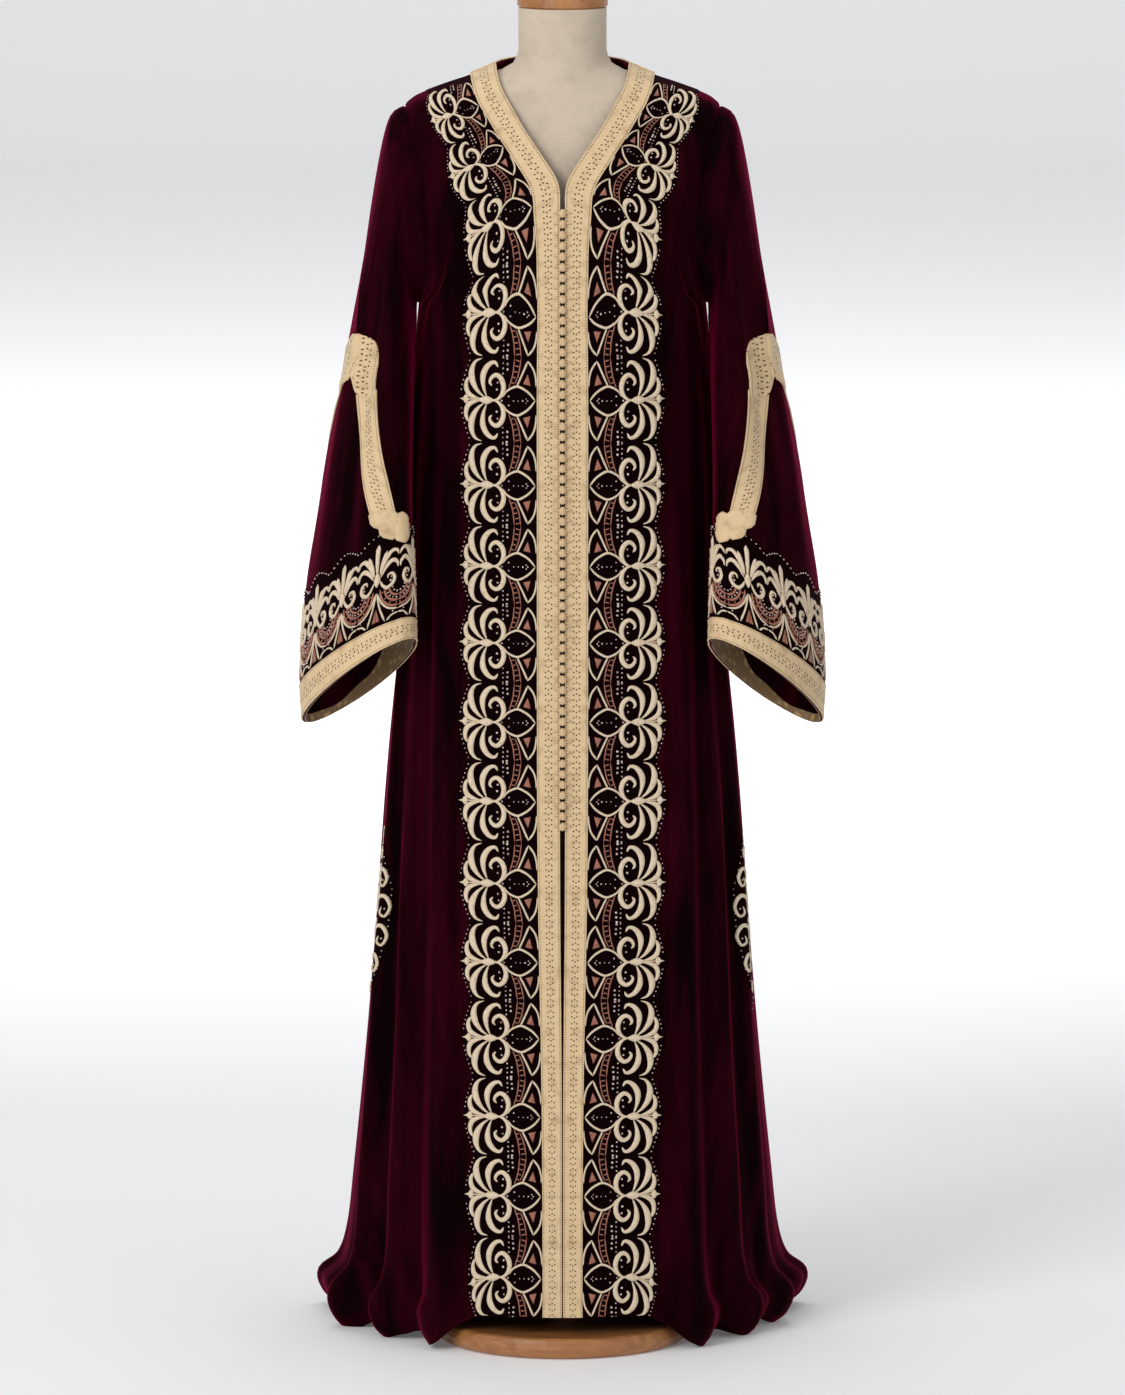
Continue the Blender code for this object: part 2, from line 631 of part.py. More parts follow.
def button_row():
    """Knotted buttons joined into one chain in front of the opening."""
    count = int((BUTTON_TOP - BUTTON_BOTTOM) / BUTTON_PITCH)
    sides = 6
    rings = []
    for button in range(count):
        middle = BUTTON_BOTTOM + BUTTON_PITCH * (button + 0.5)
        if button == 0:
            rings.append((BUTTON_RADIUS * 0.4, middle - BUTTON_PITCH / 2))
        rings.append((BUTTON_RADIUS, middle))
        rings.append((BUTTON_RADIUS * 0.4, middle + BUTTON_PITCH / 2))
    vertices = []
    for radius, height in rings:
        forward = -float(body("front", height)) - BUTTON_FORWARD
        for side in range(sides):
            angle = 2 * math.pi * side / sides
            vertices.append((radius * math.cos(angle), forward + radius * math.sin(angle), height))
    ends = [(0, -float(body("front", rings[0][1])) - BUTTON_FORWARD, rings[0][1])]
    ends.append((0, -float(body("front", rings[-1][1])) - BUTTON_FORWARD, rings[-1][1]))
    vertices = [ends[0]] + vertices + [ends[1]]
    add_object("button_row", vertices, lathe_faces(len(rings), sides), BRAID_MATERIAL, 80)


def between(grid, row, column):
    """Point of a grid at a row and column that may lie between its own."""
    rows, columns = grid.shape[:2]
    low_row = min(int(row), rows - 2)
    low_column = min(int(column), columns - 2)
    down = row - low_row
    out = column - low_column
    upper = grid[low_row, low_column] * (1 - out) + grid[low_row, low_column + 1] * out
    lower = grid[low_row + 1, low_column] * (1 - out) + grid[low_row + 1, low_column + 1] * out
    return upper * (1 - down) + lower * down


def row_at(grid, column, height):
    """Fractional row where a column of a grid passes a height."""
    heights = grid[:, column, 2]
    return float(np.interp(-height, -heights, np.arange(len(heights))))


def scalloped_band(front, normals):
    """Grid of the front embroidery: its outer edge runs out to a tip for each palmette."""
    spine = front[::-1, 3]
    travelled = np.concatenate([[0], np.cumsum(np.linalg.norm(np.diff(spine, axis=0), axis=1))])
    last = len(spine) - 1
    turns = np.arange(PALMETTE_FIRST, travelled[-1], PALMETTE_PITCH / 2)
    tips = [last - float(row) for row in np.interp(turns, travelled, np.arange(last + 1))]
    rows = sorted(tips)
    for row in range(last + 1):
        if min(abs(row - tip) for tip in tips) > LEAST_ROW:
            rows.append(float(row))
    points = []
    directions = []
    for row in sorted(rows):
        height = float(np.interp(last - row, np.arange(last + 1), travelled))
        phase = math.cos(math.pi * (height - PALMETTE_FIRST) / PALMETTE_PITCH) ** 2
        outline = [BAND_INNER, 2, 3, BAND_DIP + (BAND_TIP - BAND_DIP) * phase]
        points.append([between(front, row, column) for column in outline])
        directions.append([between(normals, row, column) for column in outline])
    return np.array(points), np.array(directions)


def neck_band(back, normals, neck_columns):
    """Grid of the braid round the back of the neck, drawn in towards the neck as it goes down."""
    columns = np.arange(0, neck_columns + 1.01, 0.5)
    grids = []
    for grid in (back, normals):
        half = []
        for row in np.arange(0, 2.01, 0.5):
            half.append([between(grid, row, column * (1 - NECK_DRAW * row)) for column in columns])
        half = np.array(half)
        grids.append(np.concatenate([mirrored(half)[:, :0:-1], half], axis=1))
    return grids


def side_patch(front, normals):
    """Grid of the side embroidery, pointed at both ends, over the front's side columns."""
    middle = front.shape[1] - 1 - SIDE_FORWARD
    heights = [patch.height for patch in SIDE_PATCH]
    spreads = [patch.spread for patch in SIDE_PATCH]
    first = row_at(front, middle, heights[0])
    final = row_at(front, middle, heights[-1])
    rows = sorted({first, final} | {float(row) for row in range(math.ceil(first), int(final) + 1)})
    points = []
    directions = []
    for row in rows:
        height = between(front, row, middle)[2]
        spread = float(np.interp(-height, [-value for value in heights], spreads))
        inner = min(1.0, spread / 2)
        columns = [middle - spread, middle - inner, middle, middle + inner, middle + spread]
        points.append([between(front, row, column) for column in columns])
        directions.append([between(normals, row, column) for column in columns])
    return np.array(points), np.array(directions)


def both_sides(name, points, normals, low, high, finish, ring=False):
    """The same piece on the right and, mirrored, on the left."""
    wall(name + "_right", points, normals, low, high, finish, ring)
    wall(name + "_left", mirrored(points), mirrored(normals), low, high, finish, ring)


def kaftan():
    """All the cloth pieces, each made from the panel that carries it."""
    front, front_normals = front_panel()
    back, back_normals, neck_columns = back_panel()
    both_sides("front", front, front_normals, -VELVET, 0, VELVET_MATERIAL)
    whole_back = np.concatenate([mirrored(back)[:, :0:-1], back], axis=1)
    whole_normals = np.concatenate([mirrored(back_normals)[:, :0:-1], back_normals], axis=1)
    wall("back", whole_back, whole_normals, -VELVET, 0, VELVET_MATERIAL)

    lift = (LIFT, LIFT + BRAID_THICKNESS)
    both_sides("braid", front[:, :2], front_normals[:, :2], *lift, BRAID_MATERIAL)
    collar, collar_normals = neck_band(back, back_normals, neck_columns)
    high = (NECK_LIFT, NECK_LIFT + BRAID_THICKNESS)
    wall("neck_braid", collar, collar_normals, *high, BRAID_MATERIAL)

    raised = (EMBROIDERY_LIFT, EMBROIDERY_LIFT + EMBROIDERY_THICKNESS)
    band, band_normals = scalloped_band(front, front_normals)
    both_sides("front_embroidery", band, band_normals, *raised, EMBROIDERY_MATERIAL)
    patch, patch_normals = side_patch(front, front_normals)
    over_folds = (SIDE_LIFT, SIDE_LIFT + EMBROIDERY_THICKNESS)
    both_sides("side_embroidery", patch, patch_normals, *over_folds, EMBROIDERY_MATERIAL)

    sleeve = sleeve_grid(front, back)
    sleeve_normals = tube_normals(sleeve)
    both_sides("sleeve", sleeve, sleeve_normals, -VELVET, 0, VELVET_MATERIAL, True)
    cuff = sleeve[-2:]
    cuff_normals = sleeve_normals[-2:]
    both_sides("cuff_braid", cuff, cuff_normals, *lift, BRAID_MATERIAL, True)
    inside = (-VELVET - LIFT - FACING_THICKNESS, -VELVET - LIFT)
    both_sides("cuff_facing", cuff, cuff_normals, *inside, BRAID_MATERIAL, True)
    above = sleeve[-4:-1].copy()
    above[-1] += (above[-2] - above[-1]) * 0.02
    both_sides("cuff_embroidery", above, sleeve_normals[-4:-1], *raised, EMBROIDERY_MATERIAL, True)
    legs(sleeve, sleeve_normals, lift)


def legs(sleeve, normals, lift):
    """Inverted V of braid on each sleeve, from its apex down both legs to the cuff band."""
    apex = next(number for number, ring in enumerate(SLEEVE) if ring.legs == 0.0) + 2
    end = len(SLEEVE) + 2 - 4
    front_leg = [SHOULDER_ROWS + column for column in (3, 4)]
    back_leg = [SHOULDER_ROWS + column for column in (-3, -2)]
    for name, columns in (("sleeve_braid_front", front_leg), ("sleeve_braid_back", back_leg)):
        strip = sleeve[apex:end + 1, columns].copy()
        strip[-1] += (strip[-2] - strip[-1]) * 0.02
        both_sides(name, strip, normals[apex:end + 1, columns], *lift, BRAID_MATERIAL)


for leftover in list(bpy.data.objects):
    bpy.data.objects.remove(leftover)

dress_form()
kaftan()
button_row()
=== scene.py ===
import math
from collections import namedtuple

import bmesh
import bpy
import numpy as np
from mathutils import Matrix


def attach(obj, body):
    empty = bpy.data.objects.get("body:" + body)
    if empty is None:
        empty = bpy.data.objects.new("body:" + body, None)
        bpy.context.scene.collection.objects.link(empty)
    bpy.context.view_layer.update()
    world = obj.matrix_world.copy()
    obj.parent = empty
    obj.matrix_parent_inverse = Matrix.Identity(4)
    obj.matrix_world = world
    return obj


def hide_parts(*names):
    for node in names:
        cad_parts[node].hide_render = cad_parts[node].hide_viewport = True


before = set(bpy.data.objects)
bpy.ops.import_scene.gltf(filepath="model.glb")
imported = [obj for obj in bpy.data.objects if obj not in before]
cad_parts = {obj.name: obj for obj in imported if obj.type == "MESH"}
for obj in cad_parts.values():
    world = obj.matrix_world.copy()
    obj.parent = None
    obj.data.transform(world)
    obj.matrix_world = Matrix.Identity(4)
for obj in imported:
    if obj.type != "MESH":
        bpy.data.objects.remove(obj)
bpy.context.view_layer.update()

# Camera
# A long lens twelve metres away, a little above the shoulder and looking down a few degrees,
# as the photograph was taken.
CAMERA_DISTANCE = 12.0
CAMERA_PITCH = math.radians(8)
CAMERA_AIM_HEIGHT = 0.772
PICTURE_HEIGHT = 1.660
FILM = 36.0

camera_data = bpy.data.cameras.new("camera")
camera_data.sensor_width = FILM
camera_data.lens = FILM * CAMERA_DISTANCE / PICTURE_HEIGHT
camera_data.clip_end = 60
camera = bpy.data.objects.new("camera", camera_data)
camera.location = (
    0,
    -CAMERA_DISTANCE * math.cos(CAMERA_PITCH),
    CAMERA_AIM_HEIGHT + CAMERA_DISTANCE * math.sin(CAMERA_PITCH),
)
camera.rotation_euler = (math.pi / 2 - CAMERA_PITCH, 0, 0)
bpy.context.scene.collection.objects.link(camera)
bpy.context.scene.camera = camera
bpy.context.scene.view_settings.view_transform = "Standard"

# Floor and backdrop
# One sheet of pale studio paper that runs back over the floor and curves up behind the
# garment. It isn't part of the object.
PAPER_HALF_WIDTH = 14.0
PAPER_FRONT = -9.0
PAPER_BACK = 16.0
PAPER_CURVE = 3.0
PAPER_TOP = 9.0
PAPER_DROP = 0.0005
# Greys painted on the paper as light falloff, lighter in the middle than on the floor in front
# and high behind: a twentieth of the way back plus half the height, in metres
PAPER_FALLOFF_GREYS = [(0.0, 0.87), (0.10, 0.95), (0.58, 0.93), (0.90, 0.90)]
# Painted glow: the paper gives off a little light of its own
PAPER_PAINTED_GLOW = 0.10


def finish(name):
    """A new material, with its node tree and its shader."""
    made = bpy.data.materials.new(name)
    made.use_nodes = True
    return made, made.node_tree, made.node_tree.nodes["Principled BSDF"]


def mesh_piece(name, points, faces, material):
    """An object from plain points and faces, turned outwards and smooth shaded."""
    mesh = bpy.data.meshes.new(name)
    mesh.from_pydata(np.asarray(points, float).tolist(), [], faces)
    work = bmesh.new()
    work.from_mesh(mesh)
    bmesh.ops.recalc_face_normals(work, faces=work.faces)
    work.to_mesh(mesh)
    work.free()
    mesh.shade_smooth()
    mesh.materials.append(material)
    piece = bpy.data.objects.new(name, mesh)
    bpy.context.scene.collection.objects.link(piece)
    return piece


paper, paper_tree, paper_shader = finish("studio_paper")
paper_place = paper_tree.nodes.new("ShaderNodeTexCoord")
paper_axes = paper_tree.nodes.new("ShaderNodeSeparateXYZ")
paper_half = paper_tree.nodes.new("ShaderNodeMath")
paper_half.operation = "MULTIPLY"
paper_half.inputs[1].default_value = 0.5
paper_way = paper_tree.nodes.new("ShaderNodeMath")
paper_way.operation = "MULTIPLY_ADD"
paper_way.inputs[1].default_value = 0.05
paper_tree.links.new(paper_place.outputs["Object"], paper_axes.inputs["Vector"])
paper_tree.links.new(paper_axes.outputs["Y"], paper_way.inputs[0])
paper_tree.links.new(paper_axes.outputs["Z"], paper_half.inputs[0])
paper_tree.links.new(paper_half.outputs["Value"], paper_way.inputs[2])
# Painted light falloff: the paper's grey picked by its place back and up
paper_painted_falloff = paper_tree.nodes.new("ShaderNodeValToRGB")
for number, (place, grey) in enumerate(PAPER_FALLOFF_GREYS):
    stops = paper_painted_falloff.color_ramp.elements
    stop = stops[number] if number < 2 else stops.new(place)
    stop.position = place
    stop.color = (grey, grey, grey, 1)
paper_tree.links.new(paper_way.outputs["Value"], paper_painted_falloff.inputs["Fac"])
paper_tree.links.new(paper_painted_falloff.outputs["Color"], paper_shader.inputs["Base Color"])
# Painted glow of the paper, in its painted greys
paper_tree.links.new(paper_painted_falloff.outputs["Color"], paper_shader.inputs["Emission Color"])
paper_shader.inputs["Emission Strength"].default_value = PAPER_PAINTED_GLOW
paper_shader.inputs["Roughness"].default_value = 0.95
paper_shader.inputs["Specular IOR Level"].default_value = 0.1
paper_profile = [(PAPER_FRONT, -PAPER_DROP), (PAPER_BACK, -PAPER_DROP)]
for step in range(1, 17):
    turn = math.pi / 2 * step / 16
    rise = PAPER_CURVE * (1 - math.cos(turn))
    paper_profile.append((PAPER_BACK + PAPER_CURVE * math.sin(turn), rise))
paper_profile.append((PAPER_BACK + PAPER_CURVE, PAPER_TOP))
paper_points = [(side, y, z) for y, z in paper_profile for side in (-PAPER_HALF_WIDTH, PAPER_HALF_WIDTH)]
paper_faces = [(2 * i, 2 * i + 1, 2 * i + 3, 2 * i + 2) for i in range(len(paper_profile) - 1)]
mesh_piece("backdrop", paper_points, paper_faces, paper)

# Light
# A large soft window in front and to the left, a weaker one to the right, a broad one
# overhead and an even pale surround, so that shadows stay soft.
Lamp = namedtuple("Lamp", "name place aim width height power")
LAMPS = [
    Lamp("window_left", (-3.6, -5.2, 3.6), (0, 0, 0.9), 3.0, 3.0, 235),
    Lamp("window_right", (4.2, -4.6, 2.6), (0, 0, 0.8), 3.0, 3.0, 34),
    Lamp("overhead", (0, 0.6, 4.6), (0, 0, 0), 3.6, 3.6, 60),
    Lamp("backdrop_glow", (0, 4.6, 5.0), (0, 11.5, 0.6), 12.0, 4.0, 640),
]
SURROUND = (0.95, 0.96, 1.0, 1)
SURROUND_STRENGTH = 0.42

for lamp in LAMPS:
    light = bpy.data.lights.new(lamp.name, "AREA")
    light.shape = "RECTANGLE"
    light.size = lamp.width
    light.size_y = lamp.height
    light.energy = lamp.power
    holder = bpy.data.objects.new(lamp.name, light)
    holder.location = lamp.place
    towards = np.array(lamp.aim) - np.array(lamp.place)
    flat_way = math.hypot(towards[0], towards[1])
    tilt = math.atan2(flat_way, -towards[2])
    holder.rotation_euler = (tilt, 0, math.atan2(towards[1], towards[0]) - math.pi / 2)
    bpy.context.scene.collection.objects.link(holder)
surround = bpy.data.worlds.new("surround")
surround.use_nodes = True
surround_light = surround.node_tree.nodes["Background"]
surround_light.inputs["Color"].default_value = SURROUND
surround_light.inputs["Strength"].default_value = SURROUND_STRENGTH
bpy.context.scene.world = surround

# Dress form: torso
# A limbless tailor's torso padded and covered in natural linen, drawn tight so that it shows
# no crease, with the woven threads and small slubs of the cloth.
FormRing = namedtuple("FormRing", "height half_width front back front_power")
FORM_RINGS = [
    FormRing(0.7200, 0.1480, 0.0900, 0.0980, 2.15),
    FormRing(0.7600, 0.1580, 0.0980, 0.1080, 2.15),
    FormRing(0.8600, 0.1660, 0.1020, 0.1160, 2.15),
    FormRing(0.9600, 0.1500, 0.0940, 0.1040, 2.15),
    FormRing(1.0600, 0.1260, 0.0880, 0.0880, 2.15),
    FormRing(1.1600, 0.1320, 0.0980, 0.0880, 2.15),
    FormRing(1.2600, 0.1450, 0.1160, 0.0940, 2.15),
    FormRing(1.3200, 0.1520, 0.1100, 0.0980, 2.15),
    FormRing(1.3800, 0.1600, 0.0960, 0.1000, 2.15),
    FormRing(1.4300, 0.1676, 0.0850, 0.0958, 2.15),
    FormRing(1.4600, 0.1674, 0.0757, 0.0881, 2.15),
    FormRing(1.4780, 0.1745, 0.0690, 0.0818, 2.15),
    FormRing(1.4880, 0.1680, 0.0655, 0.0771, 2.05),
    FormRing(1.4970, 0.1467, 0.0625, 0.0721, 1.90),
    FormRing(1.5070, 0.1173, 0.0595, 0.0667, 1.75),
    FormRing(1.5130, 0.1003, 0.0580, 0.0633, 1.70),
    FormRing(1.5220, 0.0670, 0.0560, 0.0590, 1.80),
    FormRing(1.5300, 0.0570, 0.0540, 0.0520, 1.95),
    FormRing(1.5450, 0.0520, 0.0520, 0.0520, 2.15),
    FormRing(1.5940, 0.0520, 0.0520, 0.0520, 2.15),
]
FORM_SIDES = 96
FORM_STEP = 0.008
FORM_POWER = 2.15
LINEN_COLOUR = (0.60, 0.50, 0.385, 1)
LINEN_SLUB = (0.50, 0.41, 0.31, 1)
THREAD_PITCH = 0.0011


def monotone_curve(place, places, values):
    """Smooth curve through a table that never overshoots its values."""
    order = np.argsort(places)
    xs = np.asarray(places, float)[order]
    ys = np.asarray(values, float)[order]
    steps = np.diff(xs)
    slopes = np.diff(ys) / steps
    tangents = np.zeros(len(xs))
    tangents[0] = slopes[0]
    tangents[-1] = slopes[-1]
    same = slopes[:-1] * slopes[1:] > 0
    total = slopes[:-1] + slopes[1:]
    tangents[1:-1][same] = (2 * slopes[:-1] * slopes[1:])[same] / total[same]
    at = np.clip(np.asarray(place, float), xs[0], xs[-1])
    cell = np.clip(np.searchsorted(xs, at) - 1, 0, len(steps) - 1)
    t = (at - xs[cell]) / steps[cell]
    rise = 3 * t**2 - 2 * t**3
    lead = (t**3 - 2 * t**2 + t) * steps[cell] * tangents[cell]
    trail = (t**3 - t**2) * steps[cell] * tangents[cell + 1]
    return ys[cell] * (1 - rise) + ys[cell + 1] * rise + lead + trail


def grid_faces(rows, columns, ring=False):
    """Quads of a grid; a ring grid closes on itself."""
    last = columns if ring else columns - 1
    row, column = np.meshgrid(np.arange(rows - 1), np.arange(last), indexing="ij")
    after = (column + 1) % columns
    quads = [row * columns + column, (row + 1) * columns + column]
    quads += [(row + 1) * columns + after, row * columns + after]
    return np.stack(quads, axis=-1).reshape(-1, 4)


def set_uv(piece, per_vertex):
    """Flat cloth coordinates, in metres, for the material's threads."""
    mesh = piece.data
    corners = np.empty(len(mesh.loops), np.int32)
    mesh.loops.foreach_get("vertex_index", corners)
    layer = mesh.uv_layers.new(name="cloth")
    layer.data.foreach_set("uv", np.asarray(per_vertex, np.float32)[corners].ravel())


def node(tree, kind, **settings):
    """A shader node with its inputs or its own settings given by name."""
    made = tree.nodes.new(kind)
    for name, value in settings.items():
        if hasattr(made, name):
            setattr(made, name, value)
        else:
            made.inputs[name.replace("_", " ")].default_value = value
    return made


def ramp(tree, source, low, high, low_place=0.0, high_place=1.0):
    """Two colours blended along a value."""
    made = tree.nodes.new("ShaderNodeValToRGB")
    made.color_ramp.elements[0].position = low_place
    made.color_ramp.elements[0].color = low
    made.color_ramp.elements[1].position = high_place
    made.color_ramp.elements[1].color = high
    tree.links.new(source, made.inputs["Fac"])
    return made.outputs["Color"]


def emboss(tree, shader, source, strength, distance):
    """Fine relief of threads or grain."""
    bump = tree.nodes.new("ShaderNodeBump")
    bump.inputs["Strength"].default_value = strength
    bump.inputs["Distance"].default_value = distance
    tree.links.new(source, bump.inputs["Height"])
    tree.links.new(bump.outputs["Normal"], shader.inputs["Normal"])
    return bump


WAVE_RATE = 0.32


def woven(tree, pitch):
    """Warp and weft threads crossing, as one height."""
    place = tree.nodes.new("ShaderNodeTexCoord")
    across = node(tree, "ShaderNodeTexWave", bands_direction="X", Scale=WAVE_RATE / pitch, Distortion=0.6)
    down = node(tree, "ShaderNodeTexWave", bands_direction="Z", Scale=WAVE_RATE / pitch, Distortion=0.6)
    both = node(tree, "ShaderNodeMath", operation="ADD")
    for wave, slot in ((across, 0), (down, 1)):
        tree.links.new(place.outputs["Object"], wave.inputs["Vector"])
        tree.links.new(wave.outputs["Fac"], both.inputs[slot])
    return place, both.outputs["Value"]


linen, linen_tree, linen_shader = finish("linen_cover")
linen_shader.inputs["Roughness"].default_value = 0.9
linen_shader.inputs["Specular IOR Level"].default_value = 0.2
linen_shader.inputs["Sheen Weight"].default_value = 0.15
linen_place, linen_threads = woven(linen_tree, THREAD_PITCH)
slubs = node(linen_tree, "ShaderNodeTexNoise", Scale=60.0, Detail=6.0, Roughness=0.7)
linen_tree.links.new(linen_place.outputs["Object"], slubs.inputs["Vector"])
linen_colour = ramp(linen_tree, slubs.outputs["Fac"], LINEN_SLUB, LINEN_COLOUR, 0.22, 0.55)
linen_tree.links.new(linen_colour, linen_shader.inputs["Base Color"])
emboss(linen_tree, linen_shader, linen_threads, 0.35, 0.0003)

form_turns = np.arange(FORM_SIDES) * 2 * math.pi / FORM_SIDES
ring_heights = [ring.height for ring in FORM_RINGS]
form_heights = np.append(np.arange(ring_heights[0], ring_heights[-1], FORM_STEP), ring_heights[-1])
form_rows = []
for height in form_heights:
    half_width = monotone_curve(height, ring_heights, [ring.half_width for ring in FORM_RINGS])
    front_reach = monotone_curve(height, ring_heights, [ring.front for ring in FORM_RINGS])
    back_reach = monotone_curve(height, ring_heights, [ring.back for ring in FORM_RINGS])
    front_power = monotone_curve(height, ring_heights, [ring.front_power for ring in FORM_RINGS])
    sine = np.sin(form_turns)
    cosine = np.cos(form_turns)
    depth = np.where(cosine > 0, front_reach, back_reach)
    power = np.where(cosine > 0, front_power, FORM_POWER)
    x = half_width * np.sign(sine) * np.abs(sine) ** (2 / power)
    y = -depth * np.sign(cosine) * np.abs(cosine) ** (2 / power)
    form_rows.append(np.stack([x, y, np.full(FORM_SIDES, height)], axis=-1))
form_points = np.concatenate(form_rows)
form_quads = grid_faces(len(form_rows), FORM_SIDES, ring=True).tolist()
form_quads.append(list(range(FORM_SIDES)))
form_quads.append(list(range(len(form_points) - 1, len(form_points) - 1 - FORM_SIDES, -1)))
torso = mesh_piece("linen_torso", form_points, form_quads, linen)
torso.data.set_sharp_from_angle(angle=math.radians(50))
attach(torso, "root")
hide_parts("form_torso")

# Dress form: cap, pole and base
# Turned beech, stained a warm brown and varnished; the base is a round disc with a rolled
# edge, darker on top where the garment shades it.
WOOD_LIGHT = (0.46, 0.20, 0.065, 1)
WOOD_DARK = (0.27, 0.10, 0.028, 1)
GRAIN_SCALE = 9.0

wood, wood_tree, wood_shader = finish("stained_beech")
wood_shader.inputs["Roughness"].default_value = 0.38
wood_shader.inputs["Coat Weight"].default_value = 0.25
wood_shader.inputs["Coat Roughness"].default_value = 0.25
wood_place = wood_tree.nodes.new("ShaderNodeTexCoord")
wood_stretch = node(wood_tree, "ShaderNodeMapping")
wood_stretch.inputs["Scale"].default_value = (1.0, 7.0, 7.0)
grain = node(wood_tree, "ShaderNodeTexNoise", Scale=GRAIN_SCALE, Detail=9.0, Roughness=0.62, Distortion=0.6)
wood_tree.links.new(wood_place.outputs["Object"], wood_stretch.inputs["Vector"])
wood_tree.links.new(wood_stretch.outputs["Vector"], grain.inputs["Vector"])
wood_colour = ramp(wood_tree, grain.outputs["Fac"], WOOD_DARK, WOOD_LIGHT, 0.30, 0.66)
wood_tree.links.new(wood_colour, wood_shader.inputs["Base Color"])
emboss(wood_tree, wood_shader, grain.outputs["Fac"], 0.15, 0.0006)
for name in ("form_cap", "form_pole", "form_base"):
    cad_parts[name].data.materials[0] = wood

# Kaftan body: velvet fronts and back
# Wine silk velvet cut in two fronts and one back, set edge to edge at the shoulders and
# sides. It hangs in soft long folds from the chest and spreads on the floor at the sides
# and behind.
VELVET = 0.0016
SEAM_GAP = 0.0003
SHOULDER_TIP = 1.478
UNDERARM = 1.243
NECK_POINT = 1.527
NECK_BACK = 1.534
ARMHOLE_SPREAD = math.radians(31)
OPENING_HALF = 0.003
OPENING_AT_HEM = 0.0008
OPENING_EASE = (0.28, 0.60)
HEM_LIFT = 0.042
HEM_LIFT_TOP = 0.20
HEM_LIFT_SPREAD = (math.radians(16), math.radians(33))
SHOULDER_ROWS = 10
LINE_STEPS = 240
BRAID_AT_NECK = 0.033
BRAID_AT_FRONT = 0.027
BRAID_AT_HEM = 0.0228
NECK_EASE = (-1.40, -1.30)
HEM_EASE = (-0.75, -0.10)
BAND_STEPS = (0.030, 0.060, 0.088)
BAND_SHARE = 0.62
NECK_COLUMNS = 5
Section = namedtuple("Section", "height half_width centre_y front back side_power depth_power fold")
BODY = [
    Section(1.5340, 0.0700, 0.000, 0.040, 0.0600, 2.20, 2.20, 0.000),
    Section(1.5270, 0.0780, 0.000, 0.046, 0.0655, 2.20, 2.20, 0.000),
    Section(1.5170, 0.1000, 0.000, 0.053, 0.0710, 2.20, 2.20, 0.000),
    Section(1.5025, 0.1420, 0.000, 0.063, 0.0790, 2.20, 2.20, 0.000),
    Section(1.4950, 0.1620, 0.000, 0.068, 0.0830, 2.20, 2.20, 0.000),
    Section(1.4880, 0.1760, 0.000, 0.072, 0.0870, 2.20, 2.20, 0.000),
    Section(1.4780, 0.1855, 0.000, 0.078, 0.0910, 2.20, 2.20, 0.000),
    Section(1.4500, 0.1870, 0.000, 0.092, 0.1000, 2.20, 2.20, 0.000),
    Section(1.4100, 0.1860, 0.000, 0.108, 0.1080, 2.25, 2.25, 0.001),
    Section(1.3600, 0.1820, 0.000, 0.121, 0.1140, 2.30, 2.30, 0.001),
    Section(1.2800, 0.1715, 0.000, 0.129, 0.1170, 2.30, 2.30, 0.002),
    Section(1.2430, 0.1702, 0.000, 0.129, 0.1155, 2.30, 2.30, 0.002),
    Section(1.2000, 0.1735, 0.010, 0.128, 0.1150, 2.30, 2.30, 0.003),
    Section(1.1650, 0.1770, 0.017, 0.127, 0.1160, 2.30, 2.30, 0.003),
    Section(1.1000, 0.1820, 0.030, 0.125, 0.1190, 2.30, 2.30, 0.004),
    Section(1.0000, 0.1880, 0.035, 0.124, 0.1240, 2.30, 2.30, 0.005),
    Section(0.8500, 0.1950, 0.030, 0.123, 0.1360, 2.30, 2.30, 0.006),
    Section(0.7030, 0.2065, 0.020, 0.124, 0.1500, 2.30, 2.30, 0.007),
    Section(0.4030, 0.2285, 0.030, 0.128, 0.1900, 2.25, 2.10, 0.010),
    Section(0.1400, 0.2550, 0.085, 0.133, 0.2580, 2.20, 1.65, 0.012),
    Section(0.1060, 0.2590, 0.105, 0.134, 0.2700, 2.20, 1.55, 0.012),
    Section(0.0700, 0.2670, 0.135, 0.1345, 0.2830, 2.20, 1.48, 0.012),
    Section(0.0550, 0.2810, 0.150, 0.135, 0.2940, 2.20, 1.45, 0.011),
    Section(0.0410, 0.2920, 0.160, 0.1355, 0.3040, 2.20, 1.42, 0.010),
    Section(0.0250, 0.2900, 0.168, 0.136, 0.3040, 2.20, 1.40, 0.009),
    Section(0.0120, 0.2810, 0.172, 0.136, 0.2980, 2.20, 1.40, 0.007),
    Section(0.0060, 0.2740, 0.175, 0.136, 0.2920, 2.20, 1.40, 0.005),
]
GOWN_ROWS = (1.16, 1.06, 0.95, 0.84, 0.73, 0.62, 0.50, 0.39, 0.28, 0.19, 0.110, 0.066, 0.042, 0.020, 0.006)
NECK_EDGE = [
    (1.5270, 0.0780),
    (1.5150, 0.0756),
    (1.5000, 0.0705),
    (1.4860, 0.0620),
    (1.4600, 0.0470),
    (1.4300, 0.0262),
    (1.3920, 0.0030),
]
Fold = namedtuple("Fold", "share height")
FRONT_FOLDS = [Fold(0.30, 1.00), Fold(0.24, 0.60), Fold(0.26, 0.85)]
BACK_FOLDS = [Fold(0.20, 0.9), Fold(0.25, 1.1), Fold(0.20, 0.7), Fold(0.23, 1.0)]
STEPS_PER_FOLD = 4
FLAT_STEPS = 2


def body(column, height):
    """One column of the gown's section table at any height."""
    heights = [section.height for section in BODY]
    return monotone_curve(height, heights, [getattr(section, column) for section in BODY])


def smooth_step(value, low, high):
    t = np.clip((value - low) / (high - low), 0, 1)
    return t * t * (3 - 2 * t)


